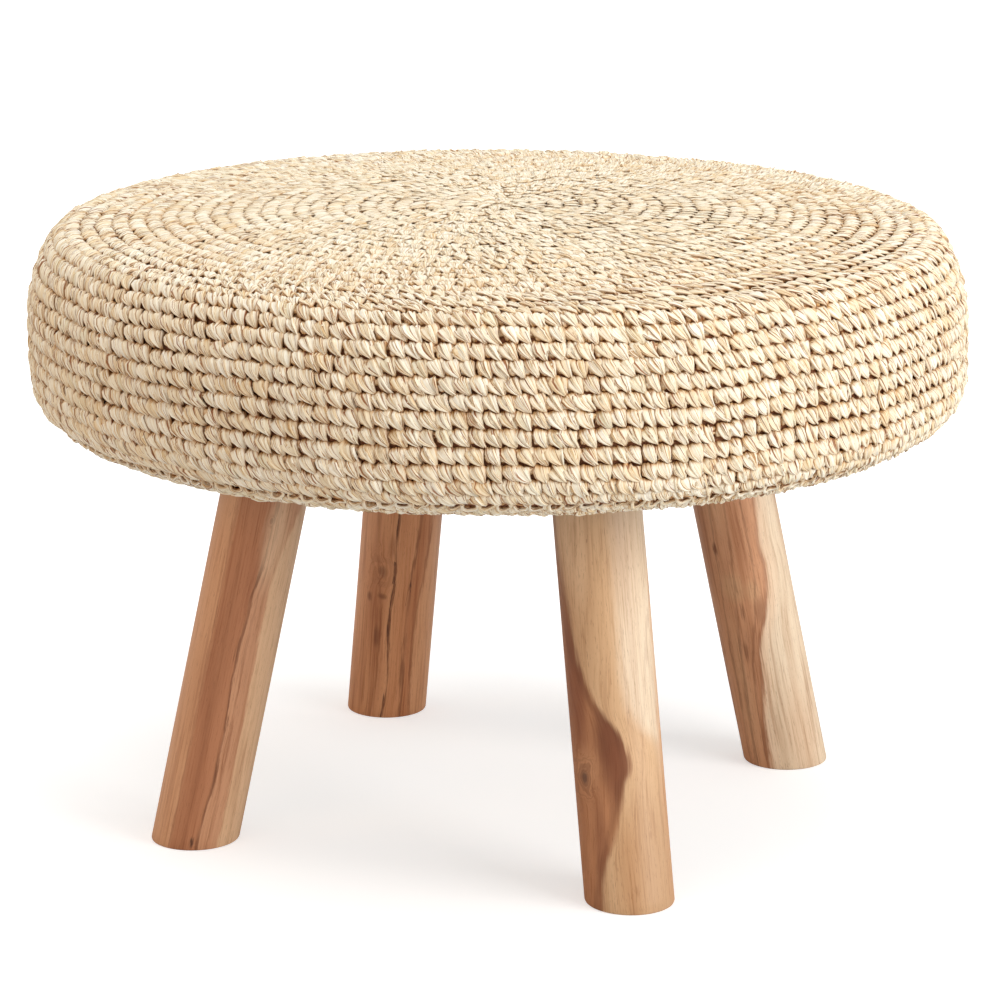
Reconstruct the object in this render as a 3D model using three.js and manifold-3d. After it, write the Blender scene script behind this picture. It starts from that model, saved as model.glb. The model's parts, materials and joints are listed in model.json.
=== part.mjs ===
// A round padded stool: a crocheted raffia cover over wadding and foam on a plywood disc,
// which stands on four splayed round teak legs. Millimetres, +Z up.
// The origin is on the floor under the middle of the seat, and -Y is the front.
import * as THREE from 'three';
import { mergeVertices } from 'three/addons/utils/BufferGeometryUtils.js';
import Module from 'manifold-3d';

const wasm = await Module();
wasm.setup();

// The whole stool
const seatDiameter = 600;
const stoolHeight = 397;
const seatDepth = 141.3;
const crownRise = 12;

// The seat's outline: shares of the seat's radius and depth, and how square each corner is
const crownStationShares = [0, 0.45, 0.8];
const shoulderWidthShare = 0.091;
const shoulderDropShare = 0.42;
const shoulderSquareness = 1.87;
const underDropShare = 0.298;
const underSquareness = 2.36;
const shoulderSteps = 5;
const underSteps = 4;
const seatSegments = 36;

// Layers of the seat, from outside to inside
const raffiaThickness = 7.5;
const liningThickness = 0.6;
const waddingThickness = 8;
const layerGap = 0.3;
const hemTurn = 35;
const liningTurn = 18;

// Plywood disc
const boardInset = 60;
const boardThickness = 18;
const boardChamfer = 2;
const boardEdgeLead = 5;

// Dust cover under the disc
const dustThickness = 0.6;
const dustOverlap = 12;
const dustStepRun = 7.5;
const dustStepClearance = 1;

// Legs
const legNames = ['front_right', 'back_right', 'back_left', 'front_left'];
const firstLegAngle = THREE.MathUtils.degToRad(-45);
const legSplay = THREE.MathUtils.degToRad(12.76);
const legDiameter = 55;
const legSegments = 24;
const legTopClearance = 0.5;

// Angled steel plate on top of each leg
const plateMargin = 5.5;
const plateThickness = 2.5;
const plateCornerRadius = 8;
const plateCornerSteps = 2;
const plateHemClearance = 20.9;
const bossDiameter = 30;
const bossSegments = 20;

// Hanger bolt that joins the leg to its plate
const boltDiameter = 8;
const boltWoodLength = 45;
const boltTipLength = 6;
const boltTopRecess = 0.5;
const boltSegments = 12;

// Countersunk screws that hold the plate to the disc
const screwDiameter = 4;
const screwHeadDiameter = 8;
const screwHeadDepth = 2.2;
const screwLength = 16;
const screwTipLength = 4;
const screwEdgeInset = 8;
const screwSegments = 12;

// Staples that hold the hem and the dust cover to the disc
const stapleCount = 16;
const stapleCrown = 10;
const stapleLeg = 14;
const stapleWireDepth = 0.9;
const stapleWireWidth = 1.2;
const stapleHemInset = 6;

// Clearances and cutting overrun
const fitGap = 0.3;
const cutOverrun = 1;
const weldTolerance = 1e-4;

const quarterTurn = Math.PI / 2;
const fullTurn = 2 * Math.PI;

// Radii and heights that follow from the sizes above
const seatRadius = seatDiameter / 2;
const boardRadius = seatRadius - boardInset;
const hemHeight = stoolHeight - seatDepth;
const hemInnerRadius = boardRadius - hemTurn;
const liningDepth = raffiaThickness + layerGap;
const waddingDepth = liningDepth + liningThickness + layerGap;
const foamDepth = waddingDepth + waddingThickness + layerGap;
const boardUnderside = hemHeight + waddingDepth;
const boardTop = boardUnderside + boardThickness;
const dustUnderside = boardUnderside - fitGap - dustThickness;
const plateTop = dustUnderside - fitGap;
const plateUnderside = plateTop - plateThickness;
const legRadius = legDiameter / 2;
const plateSide = legDiameter + 2 * plateMargin;
const plateRadius = hemInnerRadius - plateHemClearance - plateSide / 2;
const footRadius = plateRadius + plateUnderside * Math.tan(legSplay);
const screwOffset = plateSide / 2 - screwEdgeInset;
const stapleRadius = hemInnerRadius + stapleHemInset;
const stapleBase = hemHeight - fitGap - dustThickness - fitGap - stapleWireDepth;

// Distances along a leg's axis, from where it meets the floor
const plateReach = plateUnderside / Math.cos(legSplay);
const legLength = (plateUnderside - legTopClearance - legRadius * Math.sin(legSplay)) / Math.cos(legSplay);
const boltTop = (plateTop - (boltDiameter / 2) * Math.sin(legSplay)) / Math.cos(legSplay) - boltTopRecess;

const point = (x, y) => new THREE.Vector2(x, y);

// A solid of revolution about Z, from an outline of radius and height
function turned(outline, segments) {
  return new THREE.LatheGeometry(outline, segments).rotateX(quarterTurn);
}

function solidOf(geometry) {
  const bare = geometry.clone();
  bare.deleteAttribute('normal');
  bare.deleteAttribute('uv');
  const welded = mergeVertices(bare, weldTolerance);
  return new wasm.Manifold(new wasm.Mesh({
    numProp: 3,
    vertProperties: welded.attributes.position.array,
    triVerts: new Uint32Array(welded.index.array),
  }));
}

function geometryOf(solid) {
  const mesh = solid.getMesh();
  const geometry = new THREE.BufferGeometry();
  geometry.setAttribute('position', new THREE.BufferAttribute(mesh.vertProperties, mesh.numProp));
  geometry.setIndex(new THREE.BufferAttribute(mesh.triVerts, 1));
  const faceted = geometry.toNonIndexed();
  faceted.computeVertexNormals();
  return faceted;
}

function cut(geometry, cutters) {
  const left = cutters.reduce((body, cutter) => body.subtract(solidOf(cutter)), solidOf(geometry));
  return geometryOf(left);
}

// A quarter of the seat's corner: the cosine and sine of a superellipse, from one end to the other
function cornerPoint(share, squareness) {
  const angle = quarterTurn * share;
  const power = 2 / squareness;
  return { side: Math.sin(angle) ** power, rise: Math.cos(angle) ** power };
}

// The seat's outline at a depth below its outer surface, from the middle of the top down to the hem.
// Each corner keeps its centre and gets smaller by the depth, so layers nest without touching.
function skin(depth) {
  const shoulderWidth = shoulderWidthShare * seatRadius;
  const shoulderDrop = shoulderDropShare * seatDepth;
  const underDrop = underDropShare * seatDepth;
  const shoulderStart = seatRadius - shoulderWidth;
  const wallTop = stoolHeight - crownRise - shoulderDrop;
  const wallBottom = hemHeight + underDrop;
  const underStart = boardRadius - boardEdgeLead;
  const underWidth = seatRadius - underStart;
  const crown = (radius) => crownRise * (1 - (radius / seatRadius) ** 2);

  const top = crownStationShares.map((share) => {
    const radius = share * shoulderStart;
    return point(radius, wallTop + shoulderDrop - depth + crown(radius));
  });
  const shoulder = Array.from({ length: shoulderSteps + 1 }, (_, step) => {
    const { side, rise } = cornerPoint(step / shoulderSteps, shoulderSquareness);
    const radius = shoulderStart + (shoulderWidth - depth) * side;
    return point(radius, wallTop + (shoulderDrop - depth) * rise + crown(radius));
  });
  const under = Array.from({ length: underSteps + 1 }, (_, step) => {
    const { side, rise } = cornerPoint(step / underSteps, underSquareness);
    return point(underStart + (underWidth - depth) * rise, wallBottom - (underDrop - depth) * side);
  });
  return [...top, ...shoulder, ...under];
}

// The same outline, ended where it comes back in to the given radius
function skinDownTo(radius, depth) {
  const outline = skin(depth);
  const last = outline.findLastIndex((place) => place.x > radius);
  const outer = outline[last];
  const inner = outline[last + 1];
  const end = outer.clone().lerp(inner, (outer.x - radius) / (outer.x - inner.x));
  return [...outline.slice(0, last + 1), end];
}

// A layer between two depths: down its inner face from the axis, and back up its outer face
function layer(innerOutline, outerOutline) {
  return turned([...innerOutline, ...outerOutline.reverse()], seatSegments);
}

// A matrix that stands a piece at an angle round the seat, with its own X pointing outwards
function placeRound(angle, radius, sideways, height, spin) {
  return new THREE.Matrix4()
    .makeRotationZ(angle)
    .multiply(new THREE.Matrix4().makeTranslation(radius, sideways, height))
    .multiply(new THREE.Matrix4().makeRotationZ(spin));
}

const legAngles = legNames.map((_, index) => firstLegAngle + (index * fullTurn) / legNames.length);
const stapleAngles = Array.from({ length: stapleCount }, (_, index) => ((index + 0.5) * fullTurn) / stapleCount);
const screwCorners = [[1, 1], [-1, 1], [-1, -1], [1, -1]];
const screwPlaces = screwCorners.map(([out, across]) => [plateRadius + out * screwOffset, across * screwOffset]);

// Countersunk screw, head down at height zero and tip up; a gap makes it the cutter for its hole
function screwGeometry(gap) {
  const shank = screwDiameter / 2 + gap;
  const head = screwHeadDiameter / 2 + gap;
  const mouth = gap > 0 ? [point(0, -cutOverrun), point(head, -cutOverrun)] : [point(0, 0)];
  const outline = [
    ...mouth,
    point(head, 0),
    point(shank, screwHeadDepth),
    point(shank, screwLength - screwTipLength + gap),
    point(0, screwLength + gap),
  ];
  return turned(outline, screwSegments);
}

function screwCutters() {
  return legAngles.flatMap((angle) => screwPlaces.map(([radius, sideways]) => (
    screwGeometry(fitGap).applyMatrix4(placeRound(angle, radius, sideways, plateUnderside, 0))
  )));
}

// Slots for the staples, from below the staples up past their points
function stapleCutters() {
  const height = stapleLeg + 2 * fitGap;
  return stapleAngles.map((angle) => (
    new THREE.BoxGeometry(stapleCrown + 2 * fitGap, stapleWireWidth + 2 * fitGap, height)
      .translate(0, 0, stapleLeg / 2)
      .applyMatrix4(placeRound(angle, stapleRadius, 0, stapleBase, quarterTurn))
  ));
}

// Crocheted cover, turned in under the disc and open in the middle
function raffiaCoverGeometry() {
  const inner = [...skin(raffiaThickness), point(hemInnerRadius, hemHeight + raffiaThickness)];
  const outer = [...skin(0), point(hemInnerRadius, hemHeight)];
  return cut(layer(inner, outer), stapleCutters());
}

// Cotton lining, drawn over the wadding and glued round the edge of the disc's underside
function liningGeometry() {
  const edge = boardRadius - liningTurn;
  const innerDepth = liningDepth + liningThickness;
  const inner = [...skin(innerDepth), point(edge, hemHeight + innerDepth)];
  const outer = [...skin(liningDepth), point(edge, hemHeight + liningDepth)];
  return layer(inner, outer);
}

// Wadding that wraps the foam down to the edge of the disc
function waddingGeometry() {
  const edge = boardRadius + layerGap;
  return layer(skinDownTo(edge, waddingDepth + waddingThickness), skinDownTo(edge, waddingDepth));
}

// Crowned foam block that lies on the disc and laps down round its edge
function foamGeometry() {
  const edge = boardRadius + layerGap;
  const seatHeight = boardTop + layerGap;
  const outline = [point(0, seatHeight), point(edge, seatHeight), ...skinDownTo(edge, foamDepth).reverse()];
  return turned(outline, seatSegments);
}

function boardGeometry() {
  const outline = [
    point(0, boardUnderside),
    point(boardRadius - boardChamfer, boardUnderside),
    point(boardRadius, boardUnderside + boardChamfer),
    point(boardRadius, boardTop - boardChamfer),
    point(boardRadius - boardChamfer, boardTop),
    point(0, boardTop),
  ];
  return cut(turned(outline, seatSegments), [...screwCutters(), ...stapleCutters()]);
}

// Thin cloth under the disc, which steps down over the edge of the hem
function dustCoverGeometry() {
  const stepTop = hemInnerRadius - dustStepClearance - dustStepRun;
  const stepFoot = hemInnerRadius - dustStepClearance;
  const rim = hemInnerRadius + dustOverlap;
  const upper = [
    point(0, boardUnderside - fitGap),
    point(stepTop, boardUnderside - fitGap),
    point(stepFoot, hemHeight - fitGap),
    point(rim, hemHeight - fitGap),
  ];
  const lower = upper.map((place) => point(place.x, place.y - dustThickness));
  const outline = [...lower, ...upper.reverse()];
  return cut(turned(outline, seatSegments), [...screwCutters(), ...stapleCutters()]);
}

// Round leg along its own axis from the floor, cut level at the foot and square at the top
function legGeometry() {
  const footRun = legRadius * Math.tan(legSplay) + cutOverrun;
  const bore = boltDiameter / 2 + fitGap;
  const boreFloor = legLength - boltWoodLength - fitGap;
  const outline = [
    point(0, -footRun),
    point(legRadius, -footRun),
    point(legRadius, legLength),
    point(bore, legLength),
    point(bore, boreFloor),
    point(0, boreFloor),
  ];
  const floorSide = 2 * (legDiameter + footRun);
  const floor = new THREE.BoxGeometry(floorSide, floorSide, floorSide)
    .translate(0, 0, -floorSide / 2)
    .rotateY(legSplay);
  return cut(turned(outline, legSegments), [floor]);
}

// Hanger bolt along the leg's axis
function boltGeometry() {
  const shank = boltDiameter / 2;
  const tip = legLength - boltWoodLength;
  const outline = [point(0, tip), point(shank, tip + boltTipLength), point(shank, boltTop), point(0, boltTop)];
  return turned(outline, boltSegments);
}

// A round bar along the leg's axis, measured from where that axis meets the plate's underside
function tiltedBar(diameter, from, to, segments) {
  return new THREE.CylinderGeometry(diameter / 2, diameter / 2, to - from, segments)
    .rotateX(quarterTurn)
    .translate(0, 0, (from + to) / 2)
    .rotateY(-legSplay);
}

// Square plate with a slanted boss, bored for the bolt and countersunk for four screws.
// Its underside is at height zero.
function plateGeometry() {
  const half = plateSide / 2;
  const corner = half - plateCornerRadius;
  const square = new THREE.Shape();
  screwCorners.forEach(([out, across], index) => {
    const start = index * quarterTurn;
    square.absarc(out * corner, across * corner, plateCornerRadius, start, start + quarterTurn, false);
  });
  const flat = new THREE.ExtrudeGeometry(square, {
    depth: plateThickness, curveSegments: plateCornerSteps, bevelEnabled: false,
  });
  const bossFoot = legLength + fitGap - plateReach;
  const bossHead = plateThickness + bossDiameter;
  const above = new THREE.BoxGeometry(plateSide, plateSide, 2 * bossHead)
    .translate(0, 0, plateThickness + bossHead);
  const boss = solidOf(tiltedBar(bossDiameter, bossFoot, bossHead, bossSegments)).subtract(solidOf(above));
  const bore = tiltedBar(boltDiameter + 2 * fitGap, bossFoot - cutOverrun, bossHead, boltSegments);
  const screwHoles = screwCorners.map(([out, across]) => (
    screwGeometry(fitGap).translate(out * screwOffset, across * screwOffset, 0)
  ));
  return cut(geometryOf(solidOf(flat).add(boss)), [bore, ...screwHoles]);
}

// Staple with its crown down at height zero and its points up
function stapleGeometry() {
  const half = stapleCrown / 2;
  const wire = stapleWireDepth;
  const outline = new THREE.Shape([
    point(-half, 0),
    point(half, 0),
    point(half, stapleLeg),
    point(half - wire, stapleLeg),
    point(half - wire, wire),
    point(wire - half, wire),
    point(wire - half, stapleLeg),
    point(-half, stapleLeg),
  ]);
  return new THREE.ExtrudeGeometry(outline, { depth: stapleWireWidth, bevelEnabled: false })
    .translate(0, 0, -stapleWireWidth / 2)
    .rotateX(quarterTurn);
}

function finish(color, roughness, metalness) {
  return new THREE.MeshStandardMaterial({ color, roughness, metalness });
}

function addMesh(parent, name, geometry, material) {
  const mesh = new THREE.Mesh(geometry, material);
  mesh.name = name;
  parent.add(mesh);
  return mesh;
}

const stool = new THREE.Group();

addMesh(stool, 'raffia_cover', raffiaCoverGeometry(), finish('#dcc39a', 0.85, 0));
addMesh(stool, 'lining', liningGeometry(), finish('#e9e2d2', 0.9, 0));
addMesh(stool, 'wadding', waddingGeometry(), finish('#f4f2ec', 0.95, 0));
addMesh(stool, 'foam_pad', foamGeometry(), finish('#ece0b4', 0.9, 0));
addMesh(stool, 'seat_board', boardGeometry(), finish('#c9a877', 0.7, 0));
addMesh(stool, 'dust_cover', dustCoverGeometry(), finish('#2b2a28', 0.95, 0));

legNames.forEach((name, index) => {
  const station = new THREE.Group();
  station.rotation.z = legAngles[index];
  stool.add(station);

  const axis = new THREE.Group();
  axis.position.x = footRadius;
  axis.rotation.y = -legSplay;
  station.add(axis);
  addMesh(axis, `leg_${name}`, legGeometry(), finish('#b98a5f', 0.6, 0));
  addMesh(axis, `hanger_bolt_${name}`, boltGeometry(), finish('#b9b6a8', 0.4, 0.9));

  const plate = addMesh(station, `leg_plate_${name}`, plateGeometry(), finish('#aeb2b4', 0.45, 0.9));
  plate.position.set(plateRadius, 0, plateUnderside);

  screwPlaces.forEach(([radius, sideways], place) => {
    const screw = addMesh(
      station, `plate_screw_${name}_${place + 1}`, screwGeometry(0), finish('#c8b36a', 0.4, 0.9),
    );
    screw.position.set(radius, sideways, plateUnderside);
  });
});

stapleAngles.forEach((angle, index) => {
  const station = new THREE.Group();
  station.rotation.z = angle;
  stool.add(station);
  const name = `staple_${String(index + 1).padStart(2, '0')}`;
  const staple = addMesh(station, name, stapleGeometry(), finish('#c3c3c0', 0.4, 0.9));
  staple.position.set(stapleRadius, 0, stapleBase);
  staple.rotation.z = quarterTurn;
});

export default stool;
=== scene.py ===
import json
import math

import bmesh
import bpy
import numpy as np
from mathutils import Matrix, Vector, noise
from mathutils.bvhtree import BVHTree

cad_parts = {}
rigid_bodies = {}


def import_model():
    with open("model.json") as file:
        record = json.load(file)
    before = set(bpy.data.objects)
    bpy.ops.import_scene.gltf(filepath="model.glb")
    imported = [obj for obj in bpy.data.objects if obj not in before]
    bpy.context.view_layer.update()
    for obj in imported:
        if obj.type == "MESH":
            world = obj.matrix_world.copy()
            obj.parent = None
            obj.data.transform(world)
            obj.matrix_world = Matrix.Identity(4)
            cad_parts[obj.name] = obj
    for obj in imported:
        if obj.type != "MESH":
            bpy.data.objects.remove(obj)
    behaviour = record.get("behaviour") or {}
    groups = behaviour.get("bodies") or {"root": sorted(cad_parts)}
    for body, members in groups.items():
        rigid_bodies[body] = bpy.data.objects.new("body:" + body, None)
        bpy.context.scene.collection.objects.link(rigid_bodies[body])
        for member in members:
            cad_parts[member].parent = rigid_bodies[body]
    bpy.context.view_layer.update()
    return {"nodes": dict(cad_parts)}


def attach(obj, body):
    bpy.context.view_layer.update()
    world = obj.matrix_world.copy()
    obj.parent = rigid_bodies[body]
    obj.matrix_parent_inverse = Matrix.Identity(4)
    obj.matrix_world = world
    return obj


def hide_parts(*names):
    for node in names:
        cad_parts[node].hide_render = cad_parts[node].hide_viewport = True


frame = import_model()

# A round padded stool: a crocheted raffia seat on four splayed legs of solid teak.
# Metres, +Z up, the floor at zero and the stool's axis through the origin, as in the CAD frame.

MM = 0.001
FULL_TURN = 2 * math.pi

# The photograph's camera. Azimuth is measured from +X, and the aim point lies almost on the stool's axis.
CAMERA_AZIMUTH = math.radians(-67.3)
CAMERA_PITCH = math.radians(14.655)
CAMERA_DISTANCE = 2.5046
CAMERA_AIM_HEIGHT = 0.2017
CAMERA_AIM_SIDEWAYS = 0.0005
CAMERA_LENS = 139.42
SENSOR_WIDTH = 36.0

# The studio: each lamp's degrees to the right of the camera and up, distance, size, watts and colour
LAMPS = {
    "key": (58, 16, 2.8, 1.8, 57, (255, 255, 255)),
    "fill": (-42, 14, 3.0, 2.0, 12, (255, 200, 142)),
    "overhead": (0, 88, 2.4, 2.2, 38, (244, 250, 255)),
    "rim": (-105, 24, 3.0, 1.6, 9, (255, 220, 172)),
}
LAMPS_AIM_HEIGHT = 0.28
WORLD_STRENGTH = 0.50
FLOOR_REACH = 12.0

# The seat's outline, from the middle of the top down to the hem
SEAT_RADIUS = 0.300
CROWN_RISE = 0.012
SHOULDER_START = 0.2727
SHOULDER_WIDTH = 0.0273
SHOULDER_DROP = 0.05935
SHOULDER_SQUARENESS = 1.87
WALL_TOP = 0.32565
WALL_BOTTOM = 0.2978
UNDER_START = 0.235
UNDER_WIDTH = 0.065
UNDER_DROP = 0.0421
UNDER_SQUARENESS = 2.36
UNDERSIDE_RUN = 0.38
HEM_HEIGHT = 0.2557
HEM_INNER_RADIUS = 0.205

# Crochet. A place on the seat is given by its run, the distance along the skin from the middle of the top.
ROW_HEIGHT = 10.35 * MM
STITCH_WIDTH = 8.95 * MM
LOOP_SPACING = 9.6 * MM
FIRST_ROUND = 3.97 * MM
CREST_DEPTH = 0.9 * MM
STITCH_HEIGHT = 6.0 * MM
SIDE_RELIEF = 1.0
TOP_RELIEF = 0.36
HEM_RELIEF = 0.8
RELIEF_RUNS = (0.13, 0.28, 0.45, 0.472)
BACKING_DEPTHS = (6.3 * MM, 7.3 * MM)
TOP_PIECES = 4
SIDE_PIECES = 6
UNDER_PIECES = 3
TOP_ROUNDS_END = 0.235
GUIDE_STEP = 4 * MM
EDGE_ROUND_START = 0.4025

# Hand work: how far rows wander, where the seat is fuller and where its last rounds are drawn up in front
ROW_WANDER = 2.2 * MM
BED_WANDER = 0.5 * MM
FULLER_BY = 1.5 * MM
FULLER_RUN, FULLER_SPREAD = 0.305, 0.045
DRAWN_UP_BY = 2.2 * MM
DRAWN_UP_RUN, DRAWN_UP_SPREAD = 0.415, 0.025

# Layers under the cover, by their depth below the seat's skin, and the disc, its cloth and its fittings
CLOTH_THICKNESS = 0.6 * MM
LINING_DEPTH = 7.8 * MM
LINING_END = 0.222
WADDING_DEPTH = 8.7 * MM
WADDING_THICKNESS = 8 * MM
FOAM_DEPTH = 17.0 * MM
FOAM_SEAT = 0.2827
BOARD_RADIUS = 0.240
BOARD_UNDERSIDE = 0.2644
BOARD_THICKNESS = 0.018
BOARD_PLIES = 7
PAD_EDGE = BOARD_RADIUS + 0.3 * MM
DUST_TOP = 0.2641
DUST_RIM_TOP = 0.2554
DUST_STEP_START = 0.1965
DUST_STEP_END = 0.2035
DUST_RIM_WIDTH = 13 * MM
DUST_SAG = 1.6 * MM
DUST_PUCKER = 0.5 * MM
STAPLES = 16
PLATE_RADIUS = 0.1511
PLATE_HALF = 0.033
PLATE_UNDERSIDE = 0.2607
SCREW_OFFSET = 0.025
ROUND_SEGMENTS = 120

# The pad's short simulation
PAD_SLACK = 2.0 * MM
PAD_FACE = 7 * MM
PUFF_FRAMES = 20
PUFF_PRESSURE = 4
PUFF_LIMIT = 3.0 * MM
HELD_BELOW = 0.272
USUAL_PAD_DEPTH = 9.5 * MM
SWELL_LIMIT = 0.8 * MM
SWELL_SHARE = 0.4
SWELL_REACH = 0.04

# Legs, and their figure's reach and size in millimetres
LEG_NAMES = ("front_right", "back_right", "back_left", "front_left")
LEG_RADIUS = 27.5 * MM
LEG_SPLAY = math.radians(12.76)
LEG_LENGTH = 0.26056
LEG_EASE = 1.2 * MM
LEG_WAVER = 0.30 * MM
LEG_SIDES = 72
LEG_BODIES = 36
FOOT_RADIUS = 0.21014
COURSE_REACH = 13
FIGURE_HEIGHT = 260.0
FIGURE_WIDTH = 80.0


# Nodes


class Reading:
    """A number that nodes work out. Arithmetic on it sets down the nodes that do the sum."""

    def __init__(self, bench, socket):
        self.bench = bench
        self.socket = socket

    def __add__(self, other):
        return self.bench.math("ADD", self, other)

    def __sub__(self, other):
        return self.bench.math("SUBTRACT", self, other)

    def __rsub__(self, other):
        return self.bench.math("SUBTRACT", other, self)

    def __mul__(self, other):
        return self.bench.math("MULTIPLY", self, other)

    def __abs__(self):
        return self.bench.math("ABSOLUTE", self)


class Bench:
    """Sets nodes down in a tree and joins them."""

    def __init__(self, tree):
        self.tree = tree

    def join(self, source, socket):
        """Feeds a socket from a reading, a node or another socket, or sets its value."""
        if isinstance(source, Reading):
            source = source.socket
        if isinstance(source, bpy.types.Node):
            source = next(out for out in source.outputs if out.enabled)
        if isinstance(source, bpy.types.NodeSocket):
            self.tree.links.new(source, socket)
        elif source is not None:
            socket.default_value = source

    def add(self, kind, inputs=None, **settings):
        node = self.tree.nodes.new(kind)
        for name, value in settings.items():
            setattr(node, name, value)
        for key, source in (inputs or {}).items():
            self.join(source, node.inputs[key])
        return node

    def math(self, operation, first, second=None, third=None):
        inputs = {index: value for index, value in enumerate((first, second, third)) if value is not None}
        return Reading(self, self.add("ShaderNodeMath", inputs, operation=operation).outputs[0])

    def combine(self, x=0.0, y=0.0, z=0.0):
        return self.add("ShaderNodeCombineXYZ", {"X": x, "Y": y, "Z": z})


class TreeBench(Bench):
    """A bench for a Geometry Nodes tree with named inputs and one output, which has the tree's name."""

    def __init__(self, name, inputs):
        super().__init__(bpy.data.node_groups.new(name, "GeometryNodeTree"))
        for label, kind in inputs.items():
            self.tree.interface.new_socket(label, in_out="INPUT", socket_type=f"NodeSocket{kind}")
        self.tree.interface.new_socket(name, in_out="OUTPUT", socket_type="NodeSocketGeometry")
        self.given = self.add("NodeGroupInput").outputs

    def finish(self, instances, material):
        real = self.add("GeometryNodeRealizeInstances", {"Geometry": instances})
        dressed = self.add("GeometryNodeSetMaterial", {"Geometry": real, "Material": material})
        self.add("NodeGroupOutput", {self.tree.name: dressed})
        return self.tree


class ShaderBench(Bench):
    """A bench for a material's nodes."""

    def __init__(self, name):
        self.material = bpy.data.materials.new(name)
        self.material.use_nodes = True
        super().__init__(self.material.node_tree)
        self.surface = self.tree.nodes["Principled BSDF"]

    def place(self):
        return self.add("ShaderNodeTexCoord").outputs["Object"]

    def split(self, vector):
        """The three numbers of a vector."""
        return [Reading(self, part) for part in self.add("ShaderNodeSeparateXYZ", {"Vector": vector}).outputs]

    def layout(self):
        """Where a spot lies on the piece's own UV layout."""
        return self.split(self.add("ShaderNodeUVMap", uv_map="UVMap"))[:2]

    def carried(self, name):
        """A number that the mesh carries under this name."""
        return Reading(self, self.add("ShaderNodeAttribute", attribute_name=name).outputs["Fac"])

    def noise(self, place, scale, detail=2.0, roughness=0.5, distortion=0.0):
        inputs = {"Vector": place, "Scale": scale, "Detail": detail, "Roughness": roughness,
                  "Distortion": distortion}
        return Reading(self, self.add("ShaderNodeTexNoise", inputs).outputs["Fac"])

    def ramp(self, value, *stops):
        """A colour ramp. Each stop is a position and a colour."""
        node = self.add("ShaderNodeValToRGB", {"Fac": value})
        slots = node.color_ramp.elements
        for _ in stops[2:]:
            slots.new(0.5)
        for slot, (position, color) in zip(slots, stops):
            slot.position = position
            slot.color = shade(color)
        return node.outputs["Color"]

    def fade(self, value, low, high, to_low=0.0, to_high=1.0):
        """Runs smoothly from one value to another as the input goes from low to high."""
        node = self.add("ShaderNodeMapRange", {"Value": value, "From Min": low, "From Max": high,
                                               "To Min": to_low, "To Max": to_high},
                        interpolation_type="SMOOTHSTEP")
        return Reading(self, node.outputs["Result"])

    def blend(self, share, first, second, mode="MIX"):
        node = self.add("ShaderNodeMix", data_type="RGBA", blend_type=mode)
        self.join(share, node.inputs["Factor"])
        for key, color in ((6, first), (7, second)):
            self.join(shade(color) if isinstance(color, tuple) else color, node.inputs[key])
        return node.outputs[2]

    def bump(self, height, distance, strength=1.0, under=None):
        return self.add("ShaderNodeBump", {"Height": height, "Distance": distance, "Strength": strength,
                                           "Normal": under}).outputs["Normal"]

    def finish(self, color, roughness, normal=None, **fixed):
        """Gives the surface its colour, roughness and relief, and returns the material."""
        self.join(shade(color) if isinstance(color, tuple) else color, self.surface.inputs["Base Color"])
        self.join(roughness, self.surface.inputs["Roughness"])
        self.join(normal, self.surface.inputs["Normal"])
        for name, value in fixed.items():
            self.surface.inputs[name.replace("_", " ")].default_value = value
        return self.material


def shade(color):
    """Linear colour, with alpha, from red, green and blue as a paint card gives them, 0 to 255."""
    linear = [((c / 255 + 0.055) / 1.055) ** 2.4 if c > 10 else c / 255 / 12.92 for c in color]
    return (*linear, 1.0)


# Seat outline


def rounded_corner(steps, squareness):
    """How far sideways and how far up a squared-off quarter round goes, step by step."""
    angle = np.linspace(0, math.pi / 2, steps)
    power = 2 / squareness
    return np.sin(angle) ** power, np.clip(np.cos(angle), 0, 1) ** power


def seat_outline(depth=0.0):
    """Radius and height along the seat's skin, from the middle of the top to the hem's inner edge."""
    def crown(radius):
        return CROWN_RISE * (1 - (radius / SEAT_RADIUS) ** 2)

    top = np.linspace(0, SHOULDER_START, 80)
    side, rise = rounded_corner(60, SHOULDER_SQUARENESS)
    shoulder = SHOULDER_START + (SHOULDER_WIDTH - depth) * side
    side, fall = rounded_corner(60, UNDER_SQUARENESS)
    under = UNDER_START + (UNDER_WIDTH - depth) * fall
    radius = np.concatenate([top, shoulder, under, [HEM_INNER_RADIUS]])
    height = np.concatenate([
        WALL_TOP + SHOULDER_DROP - depth + crown(top),
        WALL_TOP + (SHOULDER_DROP - depth) * rise + crown(shoulder),
        WALL_BOTTOM - (UNDER_DROP - depth) * side,
        [HEM_HEIGHT + depth],
    ])
    return radius, height


class SeatSkin:
    """The seat's skin by distance along it from the middle of the top, called the run."""

    def __init__(self, depth=0.0):
        radius, height = seat_outline(depth)
        run = np.concatenate([[0], np.cumsum(np.hypot(np.diff(radius), np.diff(height)))])
        self.length = run[-1]
        self.run = np.arange(0, self.length, 0.5 * MM)
        self.radius = np.interp(self.run, run, radius)
        self.height = np.interp(self.run, run, height)
        slope_out = np.gradient(self.radius, self.run)
        slope_up = np.gradient(self.height, self.run)
        smooth = np.hanning(13) / np.hanning(13).sum()
        lean = np.stack([-slope_up, slope_out])
        lean = np.stack([np.convolve(np.pad(row, 6, mode="edge"), smooth, "valid") for row in lean])
        self.out, self.up = lean / np.hypot(*lean)

    def at(self, run):
        """Radius, height, and how far outwards and upwards the skin faces there."""
        parts = (self.radius, self.height, self.out, self.up)
        return [float(np.interp(run, self.run, part)) for part in parts]


skin = SeatSkin()


# Helpers for meshes and objects


def soft_noise(place, size):
    """Smooth unevenness from -1 to 1 whose lumps are about this size."""
    return noise.noise(Vector(place) / size)


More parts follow.
